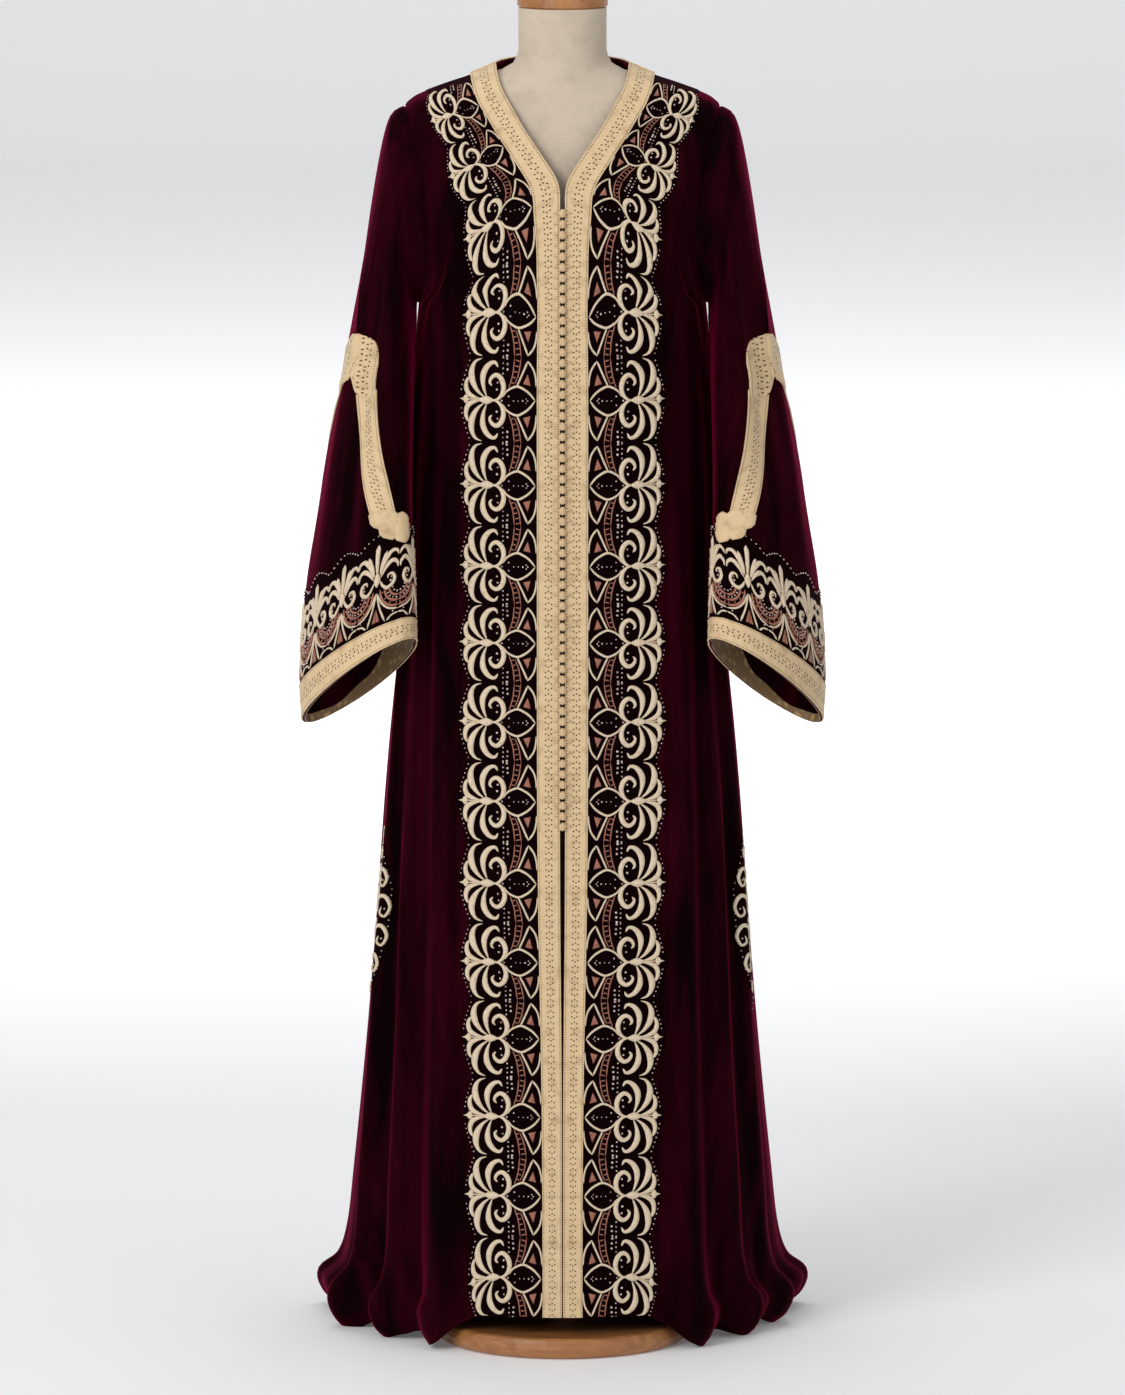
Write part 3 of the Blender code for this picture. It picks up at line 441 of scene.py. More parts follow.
def gown_point(angle, height):
    """Point of the smooth gown at an angle from centre front, 90 degrees being the side."""
    side = 2 / body("side_power", height)
    depth = 2 / body("depth_power", height)
    cosine = np.cos(angle)
    x = body("half_width", height) * np.abs(np.sin(angle)) ** side
    middle = body("centre_y", height)
    reach = np.where(cosine >= 0, body("front", height) + middle, body("back", height) - middle)
    y = np.abs(cosine) ** np.where(cosine >= 0, depth, side)
    y = middle - np.where(cosine >= 0, 1, -1) * reach * y
    return np.stack([x, y, np.broadcast_to(height, x.shape)], axis=-1)


def gown_level(points):
    """Zero on the smooth gown, positive outside it."""
    x, y, z = np.moveaxis(points, -1, 0)
    middle = body("centre_y", z)
    reach = np.where(y < middle, body("front", z) + middle, body("back", z) - middle)
    power = np.where(y < middle, body("depth_power", z), body("side_power", z))
    across = (np.abs(x) / body("half_width", z)) ** body("side_power", z)
    return across + (np.abs(y - middle) / reach) ** power


def gown_normal(points):
    """Outward direction of the smooth gown, from the slope of its level."""
    step = 2e-4
    slopes = []
    for axis in range(3):
        ahead = points.copy()
        behind = points.copy()
        ahead[..., axis] += step
        behind[..., axis] -= step
        slopes.append(gown_level(ahead) - gown_level(behind))
    normal = np.stack(slopes, axis=-1)
    return normal / np.linalg.norm(normal, axis=-1, keepdims=True)


def angle_at(x, height, back):
    """Angle round the gown where it is x wide."""
    sine = np.clip(x / body("half_width", height), 0, 1) ** (body("side_power", height) / 2)
    angle = np.arcsin(np.clip(sine, 0, 1))
    return math.pi - angle if back else angle


def crest(x):
    """Height of the shoulder line, level across the neck."""
    top = [section for section in BODY if section.height >= SHOULDER_TIP]
    return np.interp(x, [section.half_width for section in top], [section.height for section in top])


def neck_edge(height):
    """Half width of the neck opening in front, then of the front opening."""
    return monotone_curve(height, [edge[0] for edge in NECK_EDGE], [edge[1] for edge in NECK_EDGE])


def shoulder_row(turn, back):
    """Dense line across a panel above the underarm, from its inner edge to the armhole."""
    middle = (SHOULDER_TIP + UNDERARM) / 2
    edge_height = middle + (SHOULDER_TIP - UNDERARM) / 2 * math.cos(math.pi * turn)
    spread = ARMHOLE_SPREAD * math.sin(math.pi * turn)
    edge_angle = math.pi / 2 + spread if back else math.pi / 2 - spread
    outer = gown_point(np.array(edge_angle), np.array(edge_height))
    if back and turn == 0:
        return back_neck_row(outer)
    if back:
        inner_height = NECK_BACK - (NECK_BACK - UNDERARM) * turn**1.55
        inner_x = 0.0
    else:
        inner_height = NECK_POINT - (NECK_POINT - UNDERARM) * turn**1.5
        inner_x = float(neck_edge(inner_height))
    share = np.linspace(0, 1, LINE_STEPS)
    x = inner_x + (outer[0] - inner_x) * share
    drop = (crest(inner_x) - inner_height) * (1 - share) + (crest(outer[0]) - outer[2]) * share
    if turn == 0:
        height = crest(x)
        at_crest = x >= body("half_width", NECK_POINT) - 1e-6
        return gown_point(np.where(at_crest, math.pi / 2, angle_at(x, height, back)), height)
    height = crest(x) - np.maximum(drop, 0)
    return gown_point(angle_at(x, height, back), height)


def back_neck_row(tip):
    """Top edge of the back: round the neck, then along the shoulder to its tip."""
    round_neck = np.linspace(math.pi, math.pi / 2, LINE_STEPS // 2)
    height = NECK_BACK - (NECK_BACK - NECK_POINT) * smooth_step(math.pi - round_neck, 0, math.pi / 2)
    neck = gown_point(round_neck, height)
    x = np.linspace(neck[-1][0], tip[0], LINE_STEPS // 2)[1:]
    shoulder = np.stack([x, np.zeros(len(x)), crest(x)], axis=-1)
    return np.concatenate([neck, shoulder])


def gown_row(height, back):
    """Dense line across a panel below the underarm, from its inner edge to the side seam."""
    opening = OPENING_AT_HEM + (OPENING_HALF - OPENING_AT_HEM) * smooth_step(height, *OPENING_EASE)
    start = math.pi if back else float(angle_at(opening, height, False))
    angle = np.linspace(start, math.pi / 2, LINE_STEPS)
    lift = HEM_LIFT * (1 - smooth_step(angle, *HEM_LIFT_SPREAD))
    lowered = smooth_step(-height, -HEM_LIFT_TOP, 0) * lift
    return gown_point(angle, height + lowered)


def travelled(line):
    """Distance along a line of points, from its start."""
    return np.concatenate([[0], np.cumsum(np.linalg.norm(np.diff(line, axis=0), axis=1))])


def along(line, distances):
    """Points of a dense line at these distances from its start."""
    way = travelled(line)
    return np.stack([np.interp(distances, way, line[:, axis]) for axis in range(3)], axis=-1)


def fold_columns(folds):
    """Places of the columns over the free width, 0 to 1, and the height of the cloth at each."""
    places = [0.0]
    heights = [0.0]
    start = 0.0
    for fold in folds:
        for step in range(1, STEPS_PER_FOLD + 1):
            turn = step / STEPS_PER_FOLD
            places.append(start + fold.share * turn)
            heights.append(fold.height * math.sin(math.pi * turn) ** 2)
        start += fold.share
    for step in range(FLAT_STEPS):
        places.append(start + (1 - start) * (step + 1) / FLAT_STEPS)
        heights.append(0.0)
    return places, heights


def panel_rows(back):
    rows = [shoulder_row(float(turn), back) for turn in np.linspace(0, 1, SHOULDER_ROWS + 1)]
    return rows + [gown_row(height, back) for height in GOWN_ROWS]


def front_panel():
    """Points of the right front, rows down and columns outwards."""
    places, heights = fold_columns(FRONT_FOLDS)
    points = []
    for line in panel_rows(False):
        total = travelled(line)[-1]
        start = -line[0][2]
        braid_width = BRAID_AT_NECK + (BRAID_AT_FRONT - BRAID_AT_NECK) * float(smooth_step(start, *NECK_EASE))
        braid_width += (BRAID_AT_HEM - BRAID_AT_FRONT) * float(smooth_step(start, *HEM_EASE))
        scale = min(1.0, BAND_SHARE * (total - braid_width) / BAND_STEPS[-1])
        fixed = [0.0, braid_width] + [braid_width + step * scale for step in BAND_STEPS]
        free = total - fixed[-1]
        points.append(along(line, fixed + [fixed[-1] + free * place for place in places[1:]]))
    points = np.array(points)
    raised = np.array([0.0] * (len(BAND_STEPS) + 2) + heights[1:])
    points += gown_normal(points) * (body("fold", points[..., 2]) * raised)[..., None]
    points[0, :, 1] -= SEAM_GAP / 2
    points[SHOULDER_ROWS:, -1, 1] -= SEAM_GAP / 2
    return points


def back_panel():
    """Points of the right half of the back, columns from its centre out."""
    places, heights = fold_columns(BACK_FOLDS)
    top = back_neck_row(gown_point(np.array(math.pi / 2), np.array(SHOULDER_TIP)))
    top_way = travelled(top)
    neck_length = top_way[LINE_STEPS // 2 - 1]
    round_neck = [neck_length * column / NECK_COLUMNS for column in range(NECK_COLUMNS + 1)]
    rest = np.linspace(neck_length + BRAID_AT_NECK, top_way[-1], len(places) - NECK_COLUMNS - 1)
    top_shares = np.array(round_neck + list(rest)) / top_way[-1]
    points = []
    for number, line in enumerate(panel_rows(True)):
        settled = smooth_step(number, 0, SHOULDER_ROWS)
        shares = top_shares * (1 - settled) + np.array(places) * settled
        points.append(along(line, shares * travelled(line)[-1]))
    points = np.array(points)
    points += gown_normal(points) * (body("fold", points[..., 2]) * np.array(heights))[..., None]
    points[0, NECK_COLUMNS:, 1] += SEAM_GAP / 2
    points[SHOULDER_ROWS:, -1, 1] += SEAM_GAP / 2
    return points


def eased(grid, steps, ring=False):
    """The grid with more rows, each cell cut into its own number of steps by a smooth curve."""
    count = len(grid)
    if ring:
        padded = np.concatenate([grid[-1:], grid, grid[:2]])
    else:
        padded = np.concatenate([2 * grid[:1] - grid[1:2], grid, 2 * grid[-1:] - grid[-2:-1]])
    rows = []
    for cell in range(count if ring else count - 1):
        before, start, end, after = padded[cell:cell + 4]
        for t in np.arange(steps[cell]) / steps[cell]:
            pull = (2 * start + (end - before) * t
                    + (2 * before - 5 * start + 4 * end - after) * t**2
                    + (3 * start - before - 3 * end + after) * t**3)
            rows.append(pull / 2)
    if not ring:
        rows.append(grid[-1])
    return np.array(rows)


def fine_grid(grid, row_steps, column_steps, ring=False):
    """A cloth grid made finer both ways."""
    wide = eased(np.swapaxes(eased(grid, row_steps), 0, 1), column_steps, ring)
    return np.swapaxes(wide, 0, 1)


def cloth_normals(grid, ring=False):
    """Directions square to a cloth grid: outwards on the fronts, inwards on the back and sleeves."""
    down = np.gradient(grid, axis=0)
    if ring:
        round_way = np.roll(grid, -1, axis=1) - np.roll(grid, 1, axis=1)
    else:
        round_way = np.gradient(grid, axis=1)
    normal = np.cross(down, round_way)
    return normal / np.maximum(np.linalg.norm(normal, axis=-1, keepdims=True), 1e-12)


def cloth_shell(name, outer, inner, material, uv, ring=False):
    """Closed thin cloth between two grids of the same size."""
    rows, columns = outer.shape[:2]
    count = rows * columns
    quads = grid_faces(rows, columns, ring)
    faces = quads.tolist() + (quads[:, ::-1] + count).tolist()
    top = list(range(columns)) + ([0] if ring else [])
    low = [(rows - 1) * columns + column for column in top]
    rims = [top, low[::-1]]
    if not ring:
        first = [row * columns for row in range(rows)]
        rims += [first[::-1], [row + columns - 1 for row in first]]
    for rim in rims:
        for one, two in zip(rim[:-1], rim[1:]):
            faces.append((one, two, count + two, count + one))
    points = np.concatenate([outer.reshape(-1, 3), inner.reshape(-1, 3)])
    piece = mesh_piece(name, points, faces, material)
    set_uv(piece, np.concatenate([uv.reshape(-1, 2)] * 2))
    piece.data.set_sharp_from_angle(angle=math.radians(60))
    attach(piece, "root")
    return piece


def cloth_uv(grid):
    """Distance across and down the cloth at each point of a grid, in metres."""
    across = np.linalg.norm(np.diff(grid, axis=1, prepend=grid[:, :1]), axis=-1).cumsum(axis=1)
    down = np.linalg.norm(np.diff(grid, axis=0, prepend=grid[:1]), axis=-1).cumsum(axis=0)
    return np.stack([across, down], axis=-1)


# Soft creases, listed one by one: where each starts and ends across the cloth (0 at the band or
# the centre back, 1 at the side seam), how wide it is, its top and bottom heights and how far
# it stands out, a trough being negative.
Crease = namedtuple("Crease", "start end spread top bottom rise")
FRONT_LEFT_CREASES = [
    Crease(0.06, 0.05, 0.045, 1.30, 0.02, -0.0035),
    Crease(0.22, 0.16, 0.060, 1.10, 0.02, 0.0040),
    Crease(0.40, 0.30, 0.050, 0.86, 0.02, -0.0055),
    Crease(0.52, 0.47, 0.055, 0.70, 0.02, 0.0045),
    Crease(0.66, 0.60, 0.045, 0.98, 0.02, -0.0045),
    Crease(0.80, 0.74, 0.050, 0.60, 0.02, 0.0050),
    Crease(0.90, 0.88, 0.040, 0.42, 0.02, -0.0040),
    Crease(0.30, 0.72, 0.080, 1.36, 1.12, 0.0025),
]
FRONT_RIGHT_CREASES = [
    Crease(0.05, 0.07, 0.050, 1.22, 0.02, -0.0040),
    Crease(0.18, 0.22, 0.055, 0.94, 0.02, 0.0045),
    Crease(0.34, 0.36, 0.050, 1.05, 0.02, -0.0050),
    Crease(0.50, 0.52, 0.060, 0.80, 0.02, 0.0050),
    Crease(0.62, 0.68, 0.045, 0.74, 0.02, -0.0050),
    Crease(0.78, 0.80, 0.050, 0.90, 0.02, 0.0035),
    Crease(0.91, 0.92, 0.040, 0.50, 0.02, -0.0040),
    Crease(0.26, 0.66, 0.080, 1.38, 1.14, 0.0025),
]
BACK_CREASES = [
    Crease(0.03, 0.05, 0.040, 1.28, 0.02, 0.0040),
    Crease(0.15, 0.18, 0.035, 1.16, 0.02, -0.0050),
    Crease(0.28, 0.30, 0.045, 0.96, 0.02, 0.0045),
    Crease(0.41, 0.43, 0.035, 1.22, 0.02, -0.0045),
    Crease(0.55, 0.57, 0.040, 0.84, 0.02, 0.0050),
    Crease(0.68, 0.70, 0.035, 1.08, 0.02, -0.0050),
    Crease(0.82, 0.84, 0.040, 0.66, 0.02, 0.0045),
    Crease(0.93, 0.94, 0.030, 0.90, 0.02, -0.0035),
]
# The creases deepen into rounded lobes where the hem rolls on the floor
HEM_SWELL = 1.5
HEM_SWELL_HEIGHT = 0.035
HEM_SWELL_SPREAD = 0.055


def creased(grid, normals, share, creases):
    """The cloth with its listed creases; share is 0 to 1 across the free cloth."""
    height = grid[..., 2]
    lift = np.zeros(height.shape)
    for crease in creases:
        way = np.clip((crease.top - height) / (crease.top - crease.bottom), 0, 1)
        centre = crease.start + (crease.end - crease.start) * way
        profile = np.exp(-(((share - centre) / crease.spread) ** 2))
        fade = smooth_step(crease.top - height, 0, 0.30 * (crease.top - crease.bottom))
        lift += crease.rise * profile * fade
    at_edges = smooth_step(share, 0.0, 0.05) * (1 - smooth_step(share, 0.96, 1.0))
    at_hem = 1 + HEM_SWELL * np.exp(-(((height - HEM_SWELL_HEIGHT) / HEM_SWELL_SPREAD) ** 2))
    return grid + normals * (lift * at_edges * at_hem)[..., None]


ROW_STEPS = [4] * 10 + [8] + [10] * 8 + [8, 6, 6, 5, 5, 4]
FRONT_COLUMN_STEPS = [4, 4, 4, 4] + [5] * 12 + [4] * 2
BACK_COLUMN_STEPS = [4] * 18
BAND_COLUMN = sum(FRONT_COLUMN_STEPS[:4])
# Velvet colours, near black and wine, blended in tall vertical streaks: partly the pile's own uneven tone,
# partly painted sheen streaks like the highlights on the folds
VELVET_DARK = (0.0030, 0.0001, 0.0005, 1)
VELVET_WINE_STREAK = (0.0240, 0.0003, 0.0040, 1)
VELVET_SHEEN = (0.50, 0.006, 0.085, 1)

velvet, velvet_tree, velvet_shader = finish("wine_silk_velvet")
velvet_shader.inputs["Roughness"].default_value = 0.85
velvet_shader.inputs["Specular IOR Level"].default_value = 0.02
velvet_shader.inputs["Sheen Weight"].default_value = 0.85
velvet_shader.inputs["Sheen Roughness"].default_value = 0.30
velvet_shader.inputs["Sheen Tint"].default_value = VELVET_SHEEN
velvet_place = velvet_tree.nodes.new("ShaderNodeTexCoord")
# Tall vertical noise for the velvet's colour: uneven pile and painted sheen streaks together
streak_stretch = node(velvet_tree, "ShaderNodeMapping")
streak_stretch.inputs["Scale"].default_value = (1.0, 1.0, 0.12)
nap_and_painted_streaks = node(velvet_tree, "ShaderNodeTexNoise", Scale=26.0, Detail=4.0, Roughness=0.55, Distortion=0.3)
pile = node(velvet_tree, "ShaderNodeTexNoise", Scale=1400.0, Detail=2.0, Roughness=0.7)
velvet_tree.links.new(velvet_place.outputs["Object"], streak_stretch.inputs["Vector"])
velvet_tree.links.new(streak_stretch.outputs["Vector"], nap_and_painted_streaks.inputs["Vector"])
velvet_tree.links.new(velvet_place.outputs["Object"], pile.inputs["Vector"])
velvet_tone_and_streaks = ramp(velvet_tree, nap_and_painted_streaks.outputs["Fac"], VELVET_DARK, VELVET_WINE_STREAK, 0.40, 0.66)
velvet_tree.links.new(velvet_tone_and_streaks, velvet_shader.inputs["Base Color"])
emboss(velvet_tree, velvet_shader, pile.outputs["Fac"], 0.35, 0.0006)

right_front = fine_grid(front_panel(), ROW_STEPS, FRONT_COLUMN_STEPS)
half_back = fine_grid(back_panel(), ROW_STEPS, BACK_COLUMN_STEPS)
right_front_normals = cloth_normals(right_front)
half_back_normals = cloth_normals(half_back)
free_columns = right_front.shape[1] - 1 - BAND_COLUMN
front_share = (np.arange(right_front.shape[1]) - BAND_COLUMN) / free_columns
back_share = np.arange(half_back.shape[1]) / (half_back.shape[1] - 1)
MIRROR = np.array([-1, 1, 1])
for side, turn_over, creases in (("right", 1, FRONT_RIGHT_CREASES), ("left", -1, FRONT_LEFT_CREASES)):
    shape = creased(right_front, right_front_normals, front_share[None, :], creases)
    inside = shape - cloth_normals(shape) * VELVET
    if turn_over < 0:
        shape, inside = shape * MIRROR, inside * MIRROR
    front_piece = cloth_shell("velvet_front_" + side, shape, inside, velvet, cloth_uv(shape))
    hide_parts("front_" + side)
whole_back = np.concatenate([(half_back * MIRROR)[:, :0:-1], half_back], axis=1)
whole_back_normals = np.concatenate([(half_back_normals * MIRROR)[:, :0:-1], half_back_normals], axis=1)
both_shares = np.concatenate([back_share[:0:-1], back_share])
back_shape = creased(whole_back, whole_back_normals, both_shares[None, :], BACK_CREASES)
back_inside = back_shape + cloth_normals(back_shape) * VELVET
back_piece = cloth_shell("velvet_back", back_shape, back_inside, velvet, cloth_uv(back_shape))
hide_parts("back")

# Sleeves
# Wide hanging velvet sleeves set into the armholes; each falls straight from the shoulder
# and is cut on a slant at the wrist, longer on its outer side.
Ring = namedtuple("Ring", "outer_x outer_y outer_z inner_x inner_y inner_z half_depth pitch legs")
SLEEVE = [
    Ring(0.2035, 0.000, 1.4655, 0.1722, 0.000, 1.226, 0.0710, 0, -1.0),
    Ring(0.2140, 0.000, 1.4300, 0.1739, -0.006, 1.200, 0.0725, 2, -0.75),
    Ring(0.2262, 0.000, 1.3600, 0.1750, -0.026, 1.165, 0.0735, 4, -0.45),
    Ring(0.2400, 0.000, 1.2750, 0.1756, -0.044, 1.130, 0.0740, 7, -0.20),
    Ring(0.2540, -0.003, 1.1900, 0.1761, -0.061, 1.085, 0.0740, 10, 0.0),
    Ring(0.2680, -0.008, 1.1150, 0.1757, -0.076, 1.045, 0.0740, 12, 0.30),
    Ring(0.2815, -0.012, 1.0400, 0.1750, -0.087, 1.010, 0.0730, 15, 0.62),
    Ring(0.2995, -0.018, 0.9300, 0.1740, -0.098, 0.965, 0.0720, 18, 1.0),
    Ring(0.3065, -0.022, 0.8650, 0.1735, -0.106, 0.925, 0.0710, 21, 1.0),
    Ring(0.3110, -0.025, 0.8000, 0.1730, -0.112, 0.886, 0.0710, 23, 1.0),
    Ring(0.3085, -0.026, 0.7500, 0.1725, -0.115, 0.854, 0.0710, 24, 1.0),
]
LegPlace = namedtuple("LegPlace", "column at_apex at_end")
LEG_PLACES = [
    LegPlace(-10, -180, -180),
    LegPlace(-3, 4, -80),
    LegPlace(-2, 42, -57),
    LegPlace(3, 46, 108),
    LegPlace(4, 90, 136),
    LegPlace(10, 180, 180),
]
SLEEVE_FOLD = 0.003
SLEEVE_FOLD_COUNT = 3
SLEEVE_FOLD_START = (-1.30, -1.05)
SLEEVE_FOLD_END = (0.78, 0.98)
SLEEVE_ROW_STEPS = [1, 3, 4, 6, 7, 7, 7, 7, 9, 6, 6, 5]
SLEEVE_COLUMN_STEPS = [5] * 20


def leg_angles(ring, columns):
    """Angles of the sleeve's columns at a ring, in radians from its top towards its front."""
    parted = max(ring.legs, 0)
    angles = [place.at_apex + (place.at_end - place.at_apex) * parted for place in LEG_PLACES]
    drawn = np.interp(columns, [place.column for place in LEG_PLACES], angles)
    even = columns * 180 / SHOULDER_ROWS
    return np.radians(drawn + (even - drawn) * max(-ring.legs, 0))


def ring_points(ring, columns):
    """Points of one ring of the sleeve."""
    outer = np.array([ring.outer_x, ring.outer_y, ring.outer_z])
    inner = np.array([ring.inner_x, ring.inner_y, ring.inner_z])
    half_long = np.linalg.norm(outer - inner) / 2
    long_axis = (outer - inner) / (2 * half_long)
    pitch = math.radians(ring.pitch)
    forward = np.array([0, -math.cos(pitch), math.sin(pitch)])
    angle = leg_angles(ring, columns)
    free = smooth_step(-ring.outer_z, *SLEEVE_FOLD_START) * smooth_step(ring.outer_z, *SLEEVE_FOLD_END)
    swell = 1 + SLEEVE_FOLD * free * np.cos(SLEEVE_FOLD_COUNT * angle) / ring.half_depth
    along_axis = (half_long * swell * np.cos(angle))[:, None] * long_axis
    across_axis = (ring.half_depth * swell * np.sin(angle))[:, None] * forward
    return (outer + inner) / 2 + along_axis + across_axis


def sleeve_grid(front, back):
    """Right sleeve, rings downwards, columns from the back of the underarm round."""
    columns = np.arange(-SHOULDER_ROWS, SHOULDER_ROWS)
    edge = np.array([(front if column >= 0 else back)[abs(column), -1] for column in columns])
    inwards = edge.mean(axis=0) - edge
    inwards[:, 0] = 0
    inwards /= np.linalg.norm(inwards, axis=1, keepdims=True)
    outwards = np.array([1.0, 0, 0])
    start = edge + inwards * (VELVET + SEAM_GAP) - outwards * VELVET / 2
    rings = [start, edge + inwards * (VELVET / 2 + SEAM_GAP) + outwards * 2 * VELVET]
    return np.array(rings + [ring_points(ring, columns) for ring in SLEEVE])


# Creases of a sleeve: its place in twentieths of the way round, from the underarm's back (0)
# by way of the top (10) to the underarm's front (20), at its upper and lower end, and its width.
SLEEVE_CREASES = [
    Crease(11.6, 12.4, 0.70, 1.40, 0.86, 0.0040),
    Crease(13.4, 15.0, 0.60, 1.36, 0.90, -0.0045),
    Crease(15.2, 16.6, 0.75, 1.30, 0.90, 0.0045),
    Crease(17.2, 17.8, 0.60, 1.24, 0.92, -0.0040),
    Crease(8.6, 7.8, 0.70, 1.38, 0.86, -0.0040),
    Crease(6.6, 5.6, 0.80, 1.34, 0.86, 0.0045),
    Crease(4.4, 3.6, 0.70, 1.30, 0.88, -0.0045),
    Crease(2.2, 1.8, 0.70, 1.26, 0.90, 0.0035),
]


def sleeve_creased(grid, normals):
    """The sleeve with its own long creases, which fade out above the cuff."""
    ways = np.array([travelled(row) for row in np.concatenate([grid, grid[:, :1]], axis=1)])
    columns = 2 * SHOULDER_ROWS * ways[:, :-1] / ways[:, -1:]
    height = grid[..., 2]
    lift = np.zeros(height.shape)
    for crease in SLEEVE_CREASES:
        way = np.clip((crease.top - height) / (crease.top - crease.bottom), 0, 1)
        centre = crease.start + (crease.end - crease.start) * way
        profile = np.exp(-(((columns - centre) / crease.spread) ** 2))
        lift += crease.rise * profile * np.sin(math.pi * way) ** 0.8
    return grid + normals * lift[..., None]


coarse_sleeve = sleeve_grid(front_panel(), back_panel())
right_sleeve = fine_grid(coarse_sleeve, SLEEVE_ROW_STEPS, SLEEVE_COLUMN_STEPS, ring=True)
right_sleeve_normals = -cloth_normals(right_sleeve, ring=True)
sleeve_shape = sleeve_creased(right_sleeve, right_sleeve_normals)
sleeve_inside = sleeve_shape + cloth_normals(sleeve_shape, ring=True) * VELVET
for side, across in (("right", 1), ("left", -1)):
    outer_layer = sleeve_shape * np.array([across, 1, 1])
    inner_layer = sleeve_inside * np.array([across, 1, 1])
    uv = cloth_uv(outer_layer)
    sleeve_piece = cloth_shell("velvet_sleeve_" + side, outer_layer, inner_layer, velvet, uv, ring=True)
    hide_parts("sleeve_" + side)

# Front braids
# Woven cream and gold braid, a finger and a half wide, with rings of eyelets down its middle
# and a corded edge each side. It is sewn flat along both sides of the V neck and the opening.
LIFT = 0.0004
BRAID_THICKNESS = 0.0014
BRAID_STEP = 0.0021
BRAID_COLUMNS = 13
EYELET_PITCH = 0.0135
EYELET_RING = 0.0043
EYELET_SIZE = 0.0009
EYELETS_ROUND = 7.0
EDGE_DOTS_AT = 0.0116
EDGE_DOT_PITCH = 0.0030
EDGE_DOT_HALF = 0.0006
BRAID_RELIEF = 0.00055
BRAID_COLOUR = (0.68, 0.50, 0.290, 1)
BRAID_SHADE = (0.48, 0.33, 0.175, 1)
BRAID_HOLE = (0.10, 0.050, 0.016, 1)
Chart = namedtuple("Chart", "points normals across_start step")


def cloth_chart(rows, origins, scales, across_start, across_end, step, facing=1):
    """Evenly spaced patch of a cloth grid: across each row from its origin, and down the edge."""
    across = np.arange(across_start, across_end + step, step)
    zero = int(round(-across_start / step))
    lines = [along(row, origin + across * scale) for row, origin, scale in zip(rows, origins, scales)]
    lines = np.array(lines)
    edge = travelled(lines[:, zero])
    down = np.append(np.arange(0, edge[-1], step), edge[-1])
    points = np.empty((len(down), len(across), 3))
    for column in range(len(across)):
        for axis in range(3):
            points[:, column, axis] = np.interp(down, edge, lines[:, column, axis])
    return Chart(points, facing * cloth_normals(points), across_start, step)


def on_cloth(chart, across, down, lift):
    """Points on a chart, raised from the cloth."""
    rows, columns = chart.points.shape[:2]
    column = np.clip((across - chart.across_start) / chart.step, 0, columns - 1.001)
    row = np.clip(down / chart.step, 0, rows - 1.001)
    c, r = column.astype(int), row.astype(int)
    s, t = (column - c)[..., None], (row - r)[..., None]
    mixed = []
    for table in (chart.points, chart.normals):
        upper = table[r, c] * (1 - s) + table[r, c + 1] * s
        lower = table[r + 1, c] * (1 - s) + table[r + 1, c + 1] * s
        mixed.append(upper * (1 - t) + lower * t)
    return mixed[0] + mixed[1] * np.asarray(lift)[..., None]


def laid_layers(chart, across, down, high, low, mirror):
    """Top and underside of a cloth laid on a chart, mirrored for the left side."""
    layers = []
    for lift in (high, low):
        points = on_cloth(chart, across, down, np.broadcast_to(lift, down.shape))
        layers.append(points * MIRROR if mirror else points)
    return layers


def chart_length(chart):
    """Length of a chart from its top to its foot."""
    return (len(chart.points) - 1) * chart.step


def braid_relief(share, down):
    """Height of the braid's top: corded edges, and a shallow lattice between."""
    edge = np.exp(-(((np.abs(share - 0.5) - 0.44) / 0.05) ** 2))
    turn = np.cos(2 * math.pi * down / EYELET_PITCH)
    lattice = np.cos(2 * math.pi * share * 2) * turn
    middle = 1 - smooth_step(np.abs(share - 0.5), 0.34, 0.42)
    beads = 0.35 * edge * np.cos(2 * math.pi * down / EDGE_DOT_PITCH)
    return BRAID_RELIEF * (0.8 * edge + beads + 0.6 * lattice * middle)


def braid_piece(name, chart, width, low, columns=BRAID_COLUMNS, mirror=False):
    """One length of braid over a chart that spans 0 to width across."""
    down = np.linspace(0, chart_length(chart), max(4, int(chart_length(chart) / BRAID_STEP)))
    share = np.linspace(0, 1, columns)
    down, share = np.meshgrid(down, share, indexing="ij")
    across = share * width
    high = low + BRAID_THICKNESS + braid_relief(share, down)
    top, under = laid_layers(chart, across, down, high, low, mirror)
    uv = np.stack([share * BRAID_AT_FRONT, down], axis=-1)
    piece = cloth_shell(name, top, under, braid, uv)
    return piece


def sums(tree, operation, first, second=None, third=None):
    """One step of arithmetic on shader values, which may be sockets or numbers."""
    made = tree.nodes.new("ShaderNodeMath")
    made.operation = operation
    for slot, value in enumerate((first, second, third)):
        if isinstance(value, (int, float)):
            made.inputs[slot].default_value = value
        elif value is not None:
            tree.links.new(value, made.inputs[slot])
    return made.outputs["Value"]


